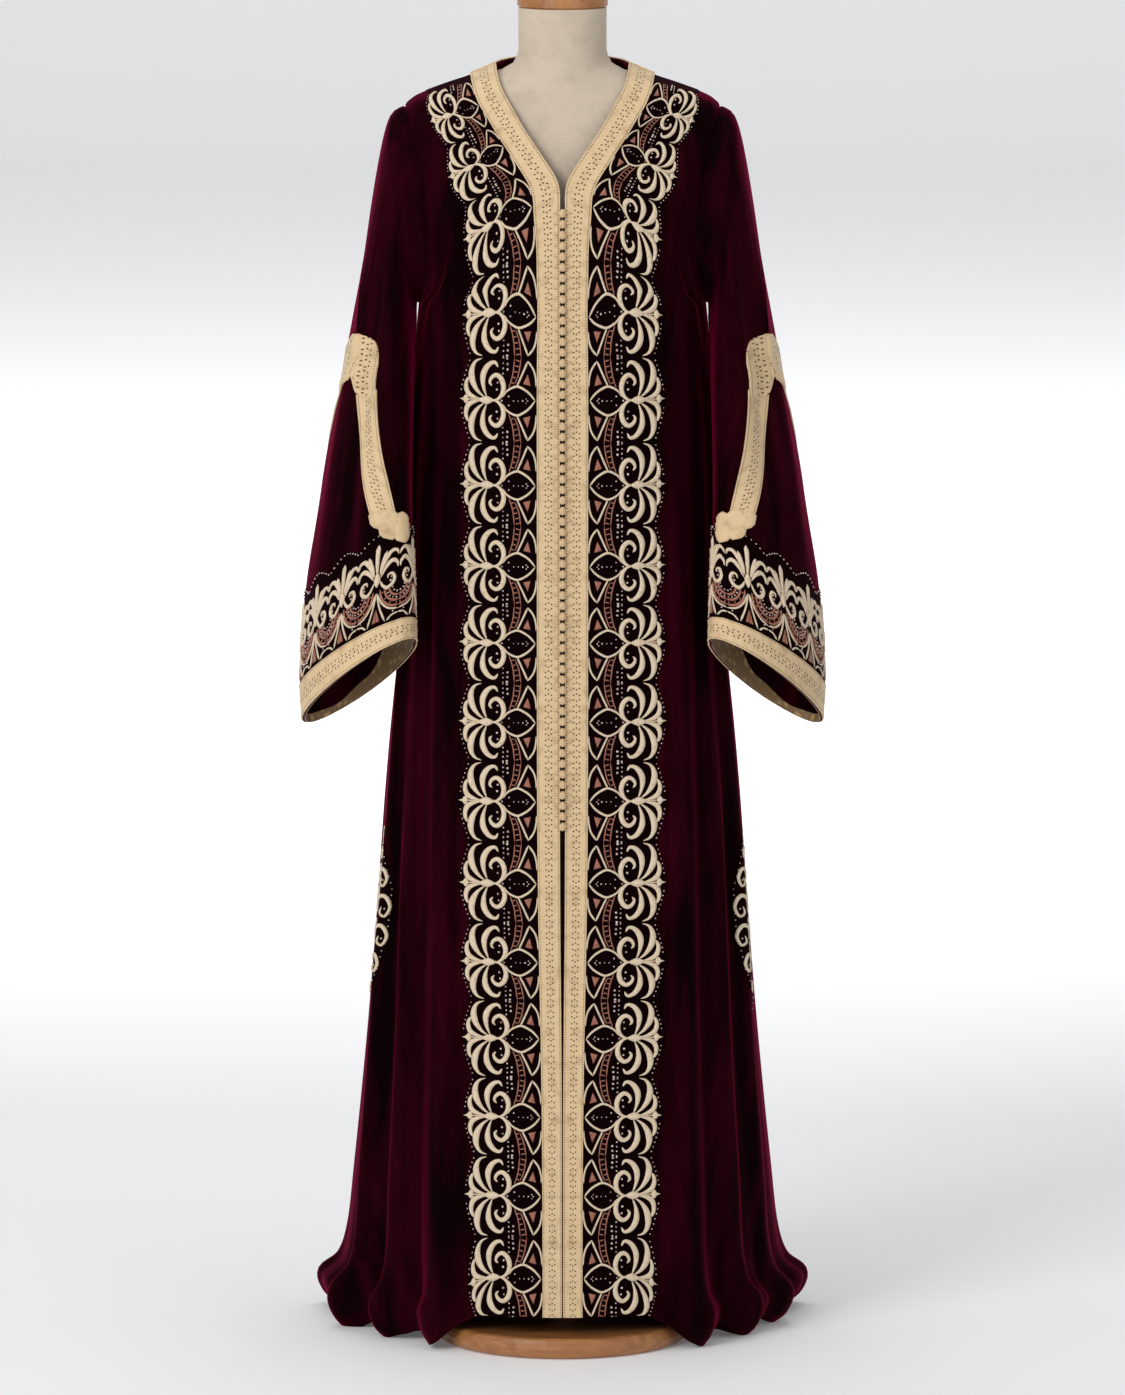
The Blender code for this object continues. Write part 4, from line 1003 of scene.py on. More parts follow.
def braid_finish(name, light, shade):
    """Cream and gold thread with rings of small dark eyelets and a dotted edge each side."""
    made, tree, shader = finish(name)
    shader.inputs["Roughness"].default_value = 0.6
    shader.inputs["Specular IOR Level"].default_value = 0.25
    shader.inputs["Sheen Weight"].default_value = 0.15
    shader.inputs["Sheen Roughness"].default_value = 0.4
    place = tree.nodes.new("ShaderNodeTexCoord")
    axes = tree.nodes.new("ShaderNodeSeparateXYZ")
    tree.links.new(place.outputs["UV"], axes.inputs["Vector"])
    aside = sums(tree, "SUBTRACT", axes.outputs["X"], BRAID_AT_FRONT / 2)
    out = sums(tree, "ABSOLUTE", aside)
    strands = node(tree, "ShaderNodeTexNoise", Scale=900.0, Detail=3.0, Roughness=0.6)
    patches = node(tree, "ShaderNodeTexNoise", Scale=55.0, Detail=3.0, Roughness=0.6)
    for texture in (strands, patches):
        tree.links.new(place.outputs["UV"], texture.inputs["Vector"])
    down = sums(tree, "PINGPONG", axes.outputs["Y"], EYELET_PITCH / 2)
    squares = [sums(tree, "POWER", distance, 2.0) for distance in (aside, down)]
    radius = sums(tree, "SQRT", sums(tree, "ADD", *squares))
    off_ring = sums(tree, "ABSOLUTE", sums(tree, "SUBTRACT", radius, EYELET_RING))
    on_ring = sums(tree, "LESS_THAN", off_ring, EYELET_SIZE)
    turn = sums(tree, "MULTIPLY", sums(tree, "ARCTAN2", aside, down), EYELETS_ROUND)
    spot = sums(tree, "GREATER_THAN", sums(tree, "COSINE", turn), 0.15)
    ring_holes = sums(tree, "MULTIPLY", on_ring, spot)
    off_edge = sums(tree, "ABSOLUTE", sums(tree, "SUBTRACT", out, EDGE_DOTS_AT))
    edge_band = sums(tree, "LESS_THAN", off_edge, EDGE_DOT_HALF)
    off_dot = sums(tree, "PINGPONG", axes.outputs["Y"], EDGE_DOT_PITCH / 2)
    edge_dot = sums(tree, "LESS_THAN", off_dot, EDGE_DOT_PITCH / 5)
    edge_holes = sums(tree, "MULTIPLY", edge_band, edge_dot)
    holes = sums(tree, "MAXIMUM", ring_holes, edge_holes)
    base = ramp(tree, patches.outputs["Fac"], shade, light, 0.26, 0.50)
    mix = node(tree, "ShaderNodeMix", data_type="RGBA")
    tree.links.new(holes, mix.inputs[0])
    tree.links.new(base, mix.inputs[6])
    mix.inputs[7].default_value = BRAID_HOLE
    tree.links.new(mix.outputs[2], shader.inputs["Base Color"])
    relief = sums(tree, "MULTIPLY_ADD", strands.outputs["Fac"], 0.5, sums(tree, "SUBTRACT", 1.0, holes))
    emboss(tree, shader, relief, 0.55, 0.0005)
    return made


braid = braid_finish("cream_gold_braid", BRAID_COLOUR, BRAID_SHADE)
fine_rows = right_front
braid_width_rows = np.array([travelled(row)[FRONT_COLUMN_STEPS[0]] for row in fine_rows])
band_scale_rows = np.array([travelled(row)[BAND_COLUMN] for row in fine_rows]) - braid_width_rows
band_scale_rows /= BAND_STEPS[-1]
braid_chart = cloth_chart(
    fine_rows, np.zeros(len(fine_rows)), braid_width_rows / BRAID_AT_FRONT, 0.0, BRAID_AT_FRONT, 0.003)
for side, mirror in (("right", False), ("left", True)):
    strip = braid_piece("front_braid_" + side, braid_chart, BRAID_AT_FRONT, LIFT, mirror=mirror)
    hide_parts("braid_" + side)

# Neck braid
# The same braid carried round the back of the neck, eased to the curve of the neckline.
NECK_LIFT = 0.0014
NECK_DRAW = 0.085
NECK_BRAID_ROWS = 2.0


def between(grid, row, column):
    """Point of a grid at a row and column that may lie between its own."""
    low_row = min(int(row), grid.shape[0] - 2)
    low_column = min(int(column), grid.shape[1] - 2)
    down = row - low_row
    out = column - low_column
    upper = grid[low_row, low_column] * (1 - out) + grid[low_row, low_column + 1] * out
    lower = grid[low_row + 1, low_column] * (1 - out) + grid[low_row + 1, low_column + 1] * out
    return upper * (1 - down) + lower * down


neck_grids = []
for grid in (half_back, -half_back_normals):
    half = []
    for row in np.linspace(0, NECK_BRAID_ROWS, BRAID_COLUMNS):
        drawn = 1 - NECK_DRAW * row
        places = np.arange(0, NECK_COLUMNS + 1.001, 0.05) * drawn
        half.append([between(grid, row * ROW_STEPS[0], c * BACK_COLUMN_STEPS[0]) for c in places])
    half = np.array(half)
    neck_grids.append(np.concatenate([(half * MIRROR)[:, :0:-1], half], axis=1))
neck_points, neck_normals = neck_grids
neck_share = np.linspace(0, 1, BRAID_COLUMNS)[:, None] * np.ones(neck_points.shape[1])
neck_way = np.linalg.norm(np.diff(neck_points, axis=1, prepend=neck_points[:, :1]), axis=-1).cumsum(axis=1)
neck_high = NECK_LIFT + BRAID_THICKNESS + braid_relief(neck_share, neck_way)
neck_top = neck_points + neck_normals * neck_high[..., None]
neck_under = neck_points + neck_normals * NECK_LIFT
neck_uv = np.stack([neck_share * BRAID_AT_FRONT, neck_way], axis=-1)
neck_piece = cloth_shell("neck_braid_strip", neck_top, neck_under, braid, neck_uv)
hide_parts("neck_braid")

# Buttons
# A close row of small knotted cord buttons down the centre front, each caught by a cord loop
# that runs back over the braid on both sides.
BUTTON_TOP = 1.376
BUTTON_BOTTOM = 0.630
BUTTON_PITCH = 0.0125
BUTTON_RADIUS = 0.0046
BUTTON_FORWARD = 0.0046
KNOT_SIDES = 10
KNOT_RINGS = 7
LOOP_RADIUS = 0.0010
LOOP_REACH = 0.0085
BUTTON_COLOUR = (0.66, 0.47, 0.26, 1)
BUTTON_SHADE = (0.48, 0.32, 0.16, 1)

cord_finish, cord_tree, cord_shader = finish("knotted_cord")
cord_shader.inputs["Roughness"].default_value = 0.5
cord_shader.inputs["Sheen Weight"].default_value = 0.2
cord_place = cord_tree.nodes.new("ShaderNodeTexCoord")
cord_twist = node(cord_tree, "ShaderNodeTexNoise", Scale=620.0, Detail=3.0, Roughness=0.6)
cord_tree.links.new(cord_place.outputs["Object"], cord_twist.inputs["Vector"])
cord_colour = ramp(cord_tree, cord_twist.outputs["Fac"], BUTTON_SHADE, BUTTON_COLOUR, 0.30, 0.52)
cord_tree.links.new(cord_colour, cord_shader.inputs["Base Color"])
emboss(cord_tree, cord_shader, cord_twist.outputs["Fac"], 0.5, 0.0004)


def tube(path, radius, sides=6):
    """Closed tube of cord along a path of points, with its faces."""
    path = np.asarray(path, float)
    ahead = np.gradient(path, axis=0)
    ahead /= np.linalg.norm(ahead, axis=1, keepdims=True)
    side = np.cross(ahead, [0.0, 0.3, 1.0])
    side /= np.maximum(np.linalg.norm(side, axis=1, keepdims=True), 1e-9)
    up = np.cross(side, ahead)
    turns = np.arange(sides) * 2 * math.pi / sides
    ring = np.cos(turns)[None, :, None] * side[:, None] + np.sin(turns)[None, :, None] * up[:, None]
    points = (path[:, None] + ring * radius).reshape(-1, 3)
    faces = grid_faces(len(path), sides, ring=True).tolist()
    faces.append(list(range(sides))[::-1])
    faces.append([len(points) - sides + side_number for side_number in range(sides)])
    return points, faces


def joined(parts):
    """One list of points and faces from several."""
    points, faces, start = [], [], 0
    for some_points, some_faces in parts:
        points.append(some_points)
        faces += [[start + corner for corner in face] for face in some_faces]
        start += len(some_points)
    return np.concatenate(points), faces


knot_rows = []
for ring in range(KNOT_RINGS):
    tilt = math.pi * ring / (KNOT_RINGS - 1)
    turns = np.arange(KNOT_SIDES) * 2 * math.pi / KNOT_SIDES
    bulge = 1 + 0.13 * np.cos(2 * turns + 3 * tilt)
    radius = max(math.sin(tilt), 0.05)
    knot_rows.append(np.stack([radius * bulge * np.cos(turns), radius * bulge * np.sin(turns),
                               np.full(KNOT_SIDES, 1.12 * math.cos(tilt))], axis=-1))
knot_points = np.concatenate(knot_rows) * BUTTON_RADIUS
knot_faces = grid_faces(KNOT_RINGS, KNOT_SIDES, ring=True).tolist()
knot_faces += [list(range(KNOT_SIDES))[::-1], list(range(len(knot_points) - KNOT_SIDES, len(knot_points)))]
button_count = int((BUTTON_TOP - BUTTON_BOTTOM) / BUTTON_PITCH)
button_parts = []
for button in range(button_count):
    height = BUTTON_BOTTOM + BUTTON_PITCH * (button + 0.5)
    front_y = -float(body("front", height))
    lean = math.radians((button * 53) % 31 - 15)
    turned_knot = knot_points @ np.array([
        [math.cos(lean), 0, math.sin(lean)], [0, 1, 0], [-math.sin(lean), 0, math.cos(lean)]])
    button_parts.append((turned_knot + [0, front_y - BUTTON_FORWARD, height], knot_faces))
    for way in (-1, 1):
        path = []
        for turn in np.linspace(0, 1, 5):
            out = way * (0.0018 + LOOP_REACH * turn)
            rise = 0.0010 * math.sin(math.pi * turn)
            path.append((out, front_y - 0.0030 - 0.0012 * math.sin(math.pi * turn), height + rise))
        button_parts.append(tube(path, LOOP_RADIUS, 5))
button_piece = mesh_piece("knotted_buttons", *joined(button_parts), cord_finish)
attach(button_piece, "root")
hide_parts("button_row")

# Front embroidery
# A wide couched and padded band beside each braid: cream palmettes with scrolled petals on a
# near black ground, with leaf outlines, rose chain stitch and small beads between them.
EMBROIDERY_LIFT = 0.0007
GROUND_COLOUR = (0.0042, 0.0006, 0.0012, 1)
GROUND_DARK = (0.0025, 0.0003, 0.0006, 1)
GROUND_LOW = 0.0001
CREAM_LIGHT = (0.72, 0.58, 0.41, 1)
CREAM_SHADE = (0.52, 0.38, 0.23, 1)
ROSE_LIGHT = (0.34, 0.125, 0.075, 1)
ROSE_SHADE = (0.13, 0.030, 0.020, 1)
BEAD_COLOUR = (0.74, 0.62, 0.54, 1)
BEAD_SHADE = (0.34, 0.20, 0.17, 1)
MILLIMETRE = 0.001
PALMETTE_PITCH = 0.0965
# Places of the palmettes along the braid's edge, counted up from the hem: evenly spaced below
# the chest, wider round the turn of the neck and close together over the shoulder
PALMETTES_UP = [
    0.047, 0.146, 0.241, 0.335, 0.426, 0.520, 0.618, 0.712,
    0.806, 0.897, 0.993, 1.094, 1.192, 1.322, 1.405, 1.465,
]
GROUND_TIP = 0.0955
GROUND_DIP = 0.0835

# Strokes in millimetres out from the braid and down from a palmette's middle, with the half
# widths at their start, middle and end, and how high the padding stands
Stroke = namedtuple("Stroke", "path start middle end height")
PETALS = [
    Stroke([(66, 0.8), (75.8, 2.6), (83.2, 6.0), (86.6, 12), (86.8, 19), (84.0, 25.6)], 0.8, 3.3, 2.2, 1.9),
    Stroke([(63, 3.5), (71, 9.4), (77.6, 18.6), (80.2, 28.7), (78.8, 37.6), (74.2, 44.0), (66.4, 46.9)],
           1.2, 4.2, 1.0, 2.2),
    Stroke([(60, 4.0), (64.4, 15.7), (65.2, 27.3), (61.6, 36.0), (56.0, 41.4), (50.0, 42.4), (46.6, 37.2)],
           1.2, 3.8, 1.8, 2.0),
    Stroke([(54.5, -1.0), (46.9, 1.3), (41.6, 7.0), (39.6, 15.7), (42.4, 24.4), (48.3, 28.7), (54.0, 26.0),
            (56.4, 20.5), (53.6, 16.6)], 1.5, 3.2, 1.9, 2.0),
]
OUTLINES = [
    Stroke([(40.6, 4.0), (35.0, 11.4), (24.2, 16.4), (15.6, 13.4), (8.2, 7.9), (2.0, 0.0)],
           1.1, 1.5, 1.3, 1.3),
    Stroke([(24.0, 15.8), (17.4, 30), (10.8, 45.4)], 1.2, 1.2, 1.4, 1.3),
    Stroke([(10.8, 45.4), (4.2, 36), (1.4, 25.8), (1.0, 16.0)], 1.4, 1.2, 0.9, 1.2),
]
STEM = Stroke([(66, 0), (76, 0), (85.5, 0)], 1.2, 0.8, 0.9, 1.4)
NODE_PATH = [(51.6, 0), (56, 0), (60.5, 0), (65, 0), (69.6, 0)]
TREFOIL = [(83.2, 0), (85.0, 4.6), (88.0, 4.9), (90.4, 1.6), (95.2, 0.0)]
CHAIN_LINES = [
    Stroke([(33.6, 13.5), (28.8, 29), (26.6, 48.25)], 0.8, 0.8, 0.8, 0.8),
    Stroke([(26.4, 18.5), (21.6, 31), (18.9, 48.25)], 0.8, 0.8, 0.8, 0.8),
]
ROSE_TRIANGLE = [(16.2, 19.4), (7.4, 17.2), (10.9, 30.6)]
SAMPLES_PER_POINT = 4


def smooth_path(points, per_point=SAMPLES_PER_POINT):
    """Smooth curve through a few points."""
    points = np.asarray(points, float)
    return eased(points[:, None, :], [per_point] * (len(points) - 1))[:, 0]


def padded_stroke(stroke, floor=-0.3):
    """Raised satin stroke: a closed tube with a rounded top and a flat bottom."""
    path = smooth_path(stroke.path)
    share = travelled(path) / travelled(path)[-1]
    width = np.where(share < 0.5, stroke.start + (stroke.middle - stroke.start) * smooth_step(share, 0, 0.5),
                     stroke.middle + (stroke.end - stroke.middle) * smooth_step(share, 0.5, 1.0))
    ends = np.sqrt(np.clip(1 - (2 * share - 1) ** 8, 0.04, 1))
    ahead = np.gradient(path, axis=0)
    ahead /= np.linalg.norm(ahead, axis=1, keepdims=True)
    side = np.stack([-ahead[:, 1], ahead[:, 0]], axis=-1)
    section = [(-1.0, 0.0), (-0.66, 0.78), (0.0, 1.0), (0.66, 0.78), (1.0, 0.0)]
    points = np.empty((len(path), len(section), 3))
    uv = np.empty((len(path), len(section), 2))
    way = travelled(path)
    for number, (out, up) in enumerate(section):
        points[:, number, :2] = path + side * (out * width * ends)[:, None]
        points[:, number, 2] = np.where(up > 0, up * stroke.height * ends, floor)
        uv[:, number] = np.stack([way, out * width + 5.0], axis=-1)
    faces = grid_faces(len(path), len(section), ring=True).tolist()
    faces.append(list(range(len(section)))[::-1])
    faces.append(list(range((len(path) - 1) * len(section), len(path) * len(section))))
    return points.reshape(-1, 3), faces, uv.reshape(-1, 2)


def padded_patch(outline, height, floor=-0.3):
    """Small filled shape with a raised middle."""
    outline = np.asarray(outline, float)
    middle = outline.mean(axis=0)
    inner = middle + (outline - middle) * 0.62
    low = np.column_stack([outline, np.full(len(outline), floor)])
    rim = np.column_stack([outline, np.full(len(outline), 0.35 * height)])
    top = np.column_stack([inner, np.full(len(outline), height)])
    points = np.concatenate([low, rim, top])
    count = len(outline)
    faces = grid_faces(3, count, ring=True).tolist()
    faces.append(list(range(count))[::-1])
    faces.append(list(range(2 * count, 3 * count)))
    return points, faces, points[:, :2]


def bead(across, down, radius, sides=6):
    """Small glass bead sewn on the cloth."""
    turns = np.arange(sides) * 2 * math.pi / sides
    rings = []
    for share, rise in ((0.55, -0.25), (1.0, 0.45), (0.72, 1.2), (0.08, 1.5)):
        rings.append(np.stack([across + radius * share * np.cos(turns), down + radius * share * np.sin(turns),
                               np.full(sides, radius * rise)], axis=-1))
    points = np.concatenate(rings)
    faces = grid_faces(4, sides, ring=True).tolist()
    faces += [list(range(sides))[::-1], list(range(3 * sides, 4 * sides))]
    return points, faces, points[:, :2]


def flipped(part, way):
    """The same small shape on the other side of its palmette's middle line."""
    points, faces, uv = part
    return points * [*way, 1], faces, uv * way


def gathered(parts):
    """One template from several small shapes."""
    points, faces, uv, start = [], [], [], 0
    for some_points, some_faces, some_uv in parts:
        points.append(some_points)
        uv.append(some_uv)
        faces += [[start + corner for corner in face] for face in some_faces]
        start += len(some_points)
    return np.concatenate(points), faces, np.concatenate(uv)


def both_ways(parts, way=(1, -1)):
    """Shapes and their mirrored copies."""
    return parts + [flipped(part, way) for part in parts]


Spot = namedtuple("Spot", "across down widen before after")


def repeated(name, chart, template, spots, lift, material, mirror):
    """A template sewn at each spot as one piece, drawn out or in to fill its place."""
    points, faces, uv = template
    all_points, all_faces, all_uv = [], [], []
    for number, spot in enumerate(spots):
        reach = np.where(points[:, 1] < 0, spot.before, spot.after)
        down = spot.down + points[:, 1] * MILLIMETRE * reach
        across = spot.across + points[:, 0] * MILLIMETRE * spot.widen
        sewn = on_cloth(chart, across, down, lift + points[:, 2] * MILLIMETRE)
        all_points.append(sewn * MIRROR if mirror else sewn)
        start = number * len(points)
        all_faces += [[start + corner for corner in face] for face in faces]
        all_uv.append(uv * MILLIMETRE + [0, number * 0.037])
    piece = mesh_piece(name, np.concatenate(all_points), all_faces, material)
    piece.data.set_sharp_from_angle(angle=math.radians(70))
    set_uv(piece, np.concatenate(all_uv))
    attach(piece, "root")
    return piece


def thread_finish(name, light, shade, pitch, roughness=0.42):
    """Satin stitch: fine parallel threads laid across each stroke, a little uneven in tone."""
    made, tree, shader = finish(name)
    shader.inputs["Roughness"].default_value = roughness
    shader.inputs["Specular IOR Level"].default_value = 0.5
    shader.inputs["Sheen Weight"].default_value = 0.3
    shader.inputs["Sheen Roughness"].default_value = 0.35
    shader.inputs["Anisotropic"].default_value = 0.35
    place = tree.nodes.new("ShaderNodeTexCoord")
    threads = node(
        tree, "ShaderNodeTexWave", bands_direction="X", Scale=WAVE_RATE / pitch, Distortion=1.2, Detail=1.0)
    tone = node(tree, "ShaderNodeTexNoise", Scale=240.0, Detail=3.0, Roughness=0.6)
    for texture in (threads, tone):
        tree.links.new(place.outputs["UV"], texture.inputs["Vector"])
    colour = ramp(tree, tone.outputs["Fac"], shade, light, 0.25, 0.48)
    tree.links.new(colour, shader.inputs["Base Color"])
    emboss(tree, shader, threads.outputs["Fac"], 0.4, 0.0003)
    return made


cream_thread = thread_finish("cream_silk_thread", CREAM_LIGHT, CREAM_SHADE, 0.0006)
rose_thread = thread_finish("rose_silk_thread", ROSE_LIGHT, ROSE_SHADE, 0.0009, 0.55)
bead_glass, bead_tree, bead_shader = finish("pearl_bead")
bead_shader.inputs["Roughness"].default_value = 0.22
bead_shader.inputs["Coat Weight"].default_value = 0.4
bead_place = bead_tree.nodes.new("ShaderNodeTexCoord")
bead_tone = node(bead_tree, "ShaderNodeTexNoise", Scale=150.0, Detail=1.0)
bead_tree.links.new(bead_place.outputs["Object"], bead_tone.inputs["Vector"])
bead_colour = ramp(bead_tree, bead_tone.outputs["Fac"], BEAD_SHADE, BEAD_COLOUR, 0.35, 0.62)
bead_tree.links.new(bead_colour, bead_shader.inputs["Base Color"])
ground_cloth, ground_tree, ground_shader = finish("dark_velvet_ground")
ground_shader.inputs["Roughness"].default_value = 0.8
ground_shader.inputs["Specular IOR Level"].default_value = 0.02
ground_shader.inputs["Sheen Weight"].default_value = 0.05
ground_shader.inputs["Sheen Tint"].default_value = VELVET_SHEEN
ground_place = ground_tree.nodes.new("ShaderNodeTexCoord")
ground_pile = node(ground_tree, "ShaderNodeTexNoise", Scale=1200.0, Detail=2.0, Roughness=0.7)
ground_tree.links.new(ground_place.outputs["Object"], ground_pile.inputs["Vector"])
ground_tone = ramp(ground_tree, ground_pile.outputs["Fac"], GROUND_DARK, GROUND_COLOUR, 0.3, 0.7)
ground_tree.links.new(ground_tone, ground_shader.inputs["Base Color"])
emboss(ground_tree, ground_shader, ground_pile.outputs["Fac"], 0.3, 0.0005)

band_chart = cloth_chart(fine_rows, braid_width_rows, band_scale_rows, -0.002, 0.100, 0.002)
band_length = chart_length(band_chart)
palmettes_down = sorted(band_length - up for up in PALMETTES_UP)
edges = [palmettes_down[0] - min(PALMETTE_PITCH / 2, palmettes_down[0])]
edges += [(one + two) / 2 for one, two in zip(palmettes_down[:-1], palmettes_down[1:])]
edges += [palmettes_down[-1] + PALMETTE_PITCH / 2]
palmette_spots = []
for number, middle in enumerate(palmettes_down):
    before = (middle - edges[number]) / (PALMETTE_PITCH / 2)
    after = (edges[number + 1] - middle) / (PALMETTE_PITCH / 2)
    palmette_spots.append(Spot(0.0, middle, 1.0, before, after))

half_shapes = [padded_stroke(stroke) for stroke in PETALS + OUTLINES]
trefoil_half = np.array(TREFOIL)
trefoil_outline = np.concatenate([trefoil_half, (trefoil_half * [1, -1])[-2:0:-1]])
cream_template = gathered(both_ways(half_shapes) + [
    padded_stroke(STEM),
    padded_stroke(Stroke(NODE_PATH, 2.2, 5.0, 2.4, 2.6)),
    padded_patch(trefoil_outline, 1.8),
])
rose_shapes = [padded_stroke(stroke) for stroke in CHAIN_LINES]
for block in range(5):
    down = 20.5 + 6.1 * block
    across = 30.6 - 7.9 * smooth_step(down, 12, 46)
    rung = [(across - 2.6, down - 0.6), (across, down), (across + 2.6, down + 0.6)]
    rose_shapes.append(padded_stroke(Stroke(rung, 0.7, 0.8, 0.7, 0.7)))
rose_shapes.append(padded_patch(ROSE_TRIANGLE, 1.1))
rose_template = gathered(both_ways(rose_shapes))
bead_shapes = [bead(47.4, 12.6, 1.5), bead(46.6, 20.4, 1.3), bead(12.5, 2.4, 0.9), bead(33.2, 5.0, 1.1)]
for step in range(4):
    bead_shapes.append(bead(35.2 - 0.5 * math.cos(step), 35.2 + 5.8 * step if step < 3 else 46.9, 1.55))
    bead_shapes.append(bead(40.2, 30.6 + 5.6 * step, 1.1))
for step in range(7):
    share = (step + 0.5) / 7
    bead_shapes.append(bead(GROUND_TIP * 1000 - 2.4 - 11.5 * share ** 1.4, 8.0 + 39.0 * share, 0.95, 5))
middle_beads = [
    bead(across, 0, radius)
    for across, radius in ((41.5, 1.2), (16.5, 1.2), (10.8, 1.0), (22.0, 0.8), (27.5, 0.8))
]
bead_template = gathered(both_ways(bead_shapes) + middle_beads)

ground_down = np.arange(0, band_length, 0.004)
ends = [palmettes_down[0] - PALMETTE_PITCH] + palmettes_down + [palmettes_down[-1] + PALMETTE_PITCH]
phase = np.cos(math.pi * np.interp(ground_down, ends, np.arange(len(ends)))) ** 2
ground_reach = GROUND_DIP + (GROUND_TIP - GROUND_DIP) * phase
ground_share = np.linspace(0, 1, 14)
ground_across = ground_share[None, :] * ground_reach[:, None]
ground_way = ground_down[:, None] * np.ones(len(ground_share))


def ground_patch(name, chart, across, down, lift, low, mirror):
    """Dark velvet ground of an embroidery, laid over a chart."""
    top, under = laid_layers(chart, across, down, lift, low, mirror)
    made = cloth_shell(name, top, under, ground_cloth, np.stack([across, down], axis=-1))
    return made


for side, mirror in (("right", False), ("left", True)):
    ground_piece = ground_patch(
        "band_ground_" + side, band_chart, ground_across, ground_way, EMBROIDERY_LIFT, GROUND_LOW, mirror)
    threads = repeated(
        "palmettes_" + side, band_chart, cream_template, palmette_spots,
        EMBROIDERY_LIFT, cream_thread, mirror)
    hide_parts("front_embroidery_" + side)
    chains = repeated(
        "chain_stitch_" + side, band_chart, rose_template, palmette_spots,
        EMBROIDERY_LIFT, rose_thread, mirror)
    pearls = repeated(
        "band_beads_" + side, band_chart, bead_template, palmette_spots,
        EMBROIDERY_LIFT, bead_glass, mirror)

# Sleeve braids
# The same braid sewn down each sleeve as an inverted V, one leg in front and one behind,
# mitred at the top; the front leg ends in a small folded rosette above the cuff.
SLEEVE_RING_ROWS = np.concatenate([[0], np.cumsum(SLEEVE_ROW_STEPS)])
LEG_TOP_ROW = SLEEVE_RING_ROWS[-7]
LEG_END_ROW = SLEEVE_RING_ROWS[-4]
LEG_COLUMNS = {"front": (13, 14), "back": (7, 8)}
LEG_WIDTH = 0.031
LEG_MARGIN = 3
LEG_SPREAD = 0.016
LEG_SHORTER = 4
APEX_HALF = 0.061
APEX_TOP = 1.213
APEX_SHOULDER = 1.182
APEX_NOTCH = 1.172
APEX_FOOT = 1.142
APEX_SLOPE = 1.33
APEX_ROUND = 2.3
APEX_LIFT = 0.0006
LEVEL_COLUMNS = (22, 84)
LEVEL_STEP = 0.004
ROSETTE_TOP = 1.050
ROSETTE_FOOT = 0.900
Lobe = namedtuple("Lobe", "inwards below wide tall")
LOBES = [
    Lobe(-7, 3, 11, 11),
    Lobe(8, 0, 12, 11),
    Lobe(23, 5, 11, 12),
    Lobe(2, 15, 12, 11),
    Lobe(18, 18, 12, 12),
]
LOBE_SIDES = 14
LOBE_RINGS = ((1.0, 0.2), (1.0, 2.4), (0.86, 3.5), (0.5, 4.1), (0.06, 3.2))


def leg_chart(shape, columns):
    """Chart of one leg of the V, across from its outer column to its inner one."""
    low, high = (column * SLEEVE_COLUMN_STEPS[0] for column in columns)
    rows = shape[LEG_TOP_ROW:LEG_END_ROW + 1 - LEG_SHORTER, low - LEG_MARGIN:high + LEG_MARGIN + 1]
    ways = [travelled(row) for row in rows]
    starts = [way[LEG_MARGIN] for way in ways]
    scales = [(way[-1 - LEG_MARGIN] - way[LEG_MARGIN]) / LEG_WIDTH for way in ways]
    return cloth_chart(rows, starts, scales, -LEG_SPREAD, LEG_WIDTH + LEG_SPREAD, 0.002, facing=-1)


def level_chart(shape, top, foot, columns, reach):
    """Chart with level rows: across is the way round the sleeve from between two columns."""
    rows, origins = [], []
    for height in np.arange(top, foot, -LEVEL_STEP):
        row = []
        for column in range(*LEVEL_COLUMNS):
            line = shape[LEG_TOP_ROW // 2:, column]
            row.append([np.interp(-height, -line[:, 2], line[:, axis]) for axis in range(3)])
        way = travelled(np.array(row))
        rows.append(row)
        origins.append(np.mean([way[column - LEVEL_COLUMNS[0]] for column in columns]))
    return cloth_chart(np.array(rows), origins, np.ones(len(rows)), -reach, reach, 0.002, facing=-1)


def down_at(chart, height):
    """Way down a level chart to a height."""
    heights = chart.points[:, chart.points.shape[1] // 2, 2]
    return np.interp(-height, -heights, np.arange(len(heights)) * chart.step)


def leg_apex(shape):
    """Mitred top of the V, a broad arch over both legs with a notch between them."""
    low = LEG_COLUMNS["back"][1] * SLEEVE_COLUMN_STEPS[0]
    high = LEG_COLUMNS["front"][0] * SLEEVE_COLUMN_STEPS[0]
    chart = level_chart(shape, APEX_TOP + 0.006, APEX_FOOT - 0.010, (low, high), APEX_HALF + 0.006)
    share = np.linspace(-1, 1, 37)
    side = np.abs(share)
    arch = np.maximum(1 - side**APEX_ROUND, 0) ** (1 / APEX_ROUND)
    top_height = APEX_SHOULDER + (APEX_TOP - APEX_SHOULDER) * arch
    foot_height = np.maximum(APEX_NOTCH - APEX_SLOPE * APEX_HALF * side, APEX_FOOT)
    rise = np.linspace(0, 1, 15)[:, None]
    down = down_at(chart, top_height + (foot_height - top_height) * rise)
    across = share * APEX_HALF * np.ones(rise.shape)
    top = on_cloth(chart, across, down, LIFT + APEX_LIFT + BRAID_THICKNESS + braid_relief(side, down))
    under = on_cloth(chart, across, down, np.full(down.shape, LIFT))
    return top, under, np.stack([np.abs(across) / APEX_HALF * BRAID_AT_FRONT, down], axis=-1)


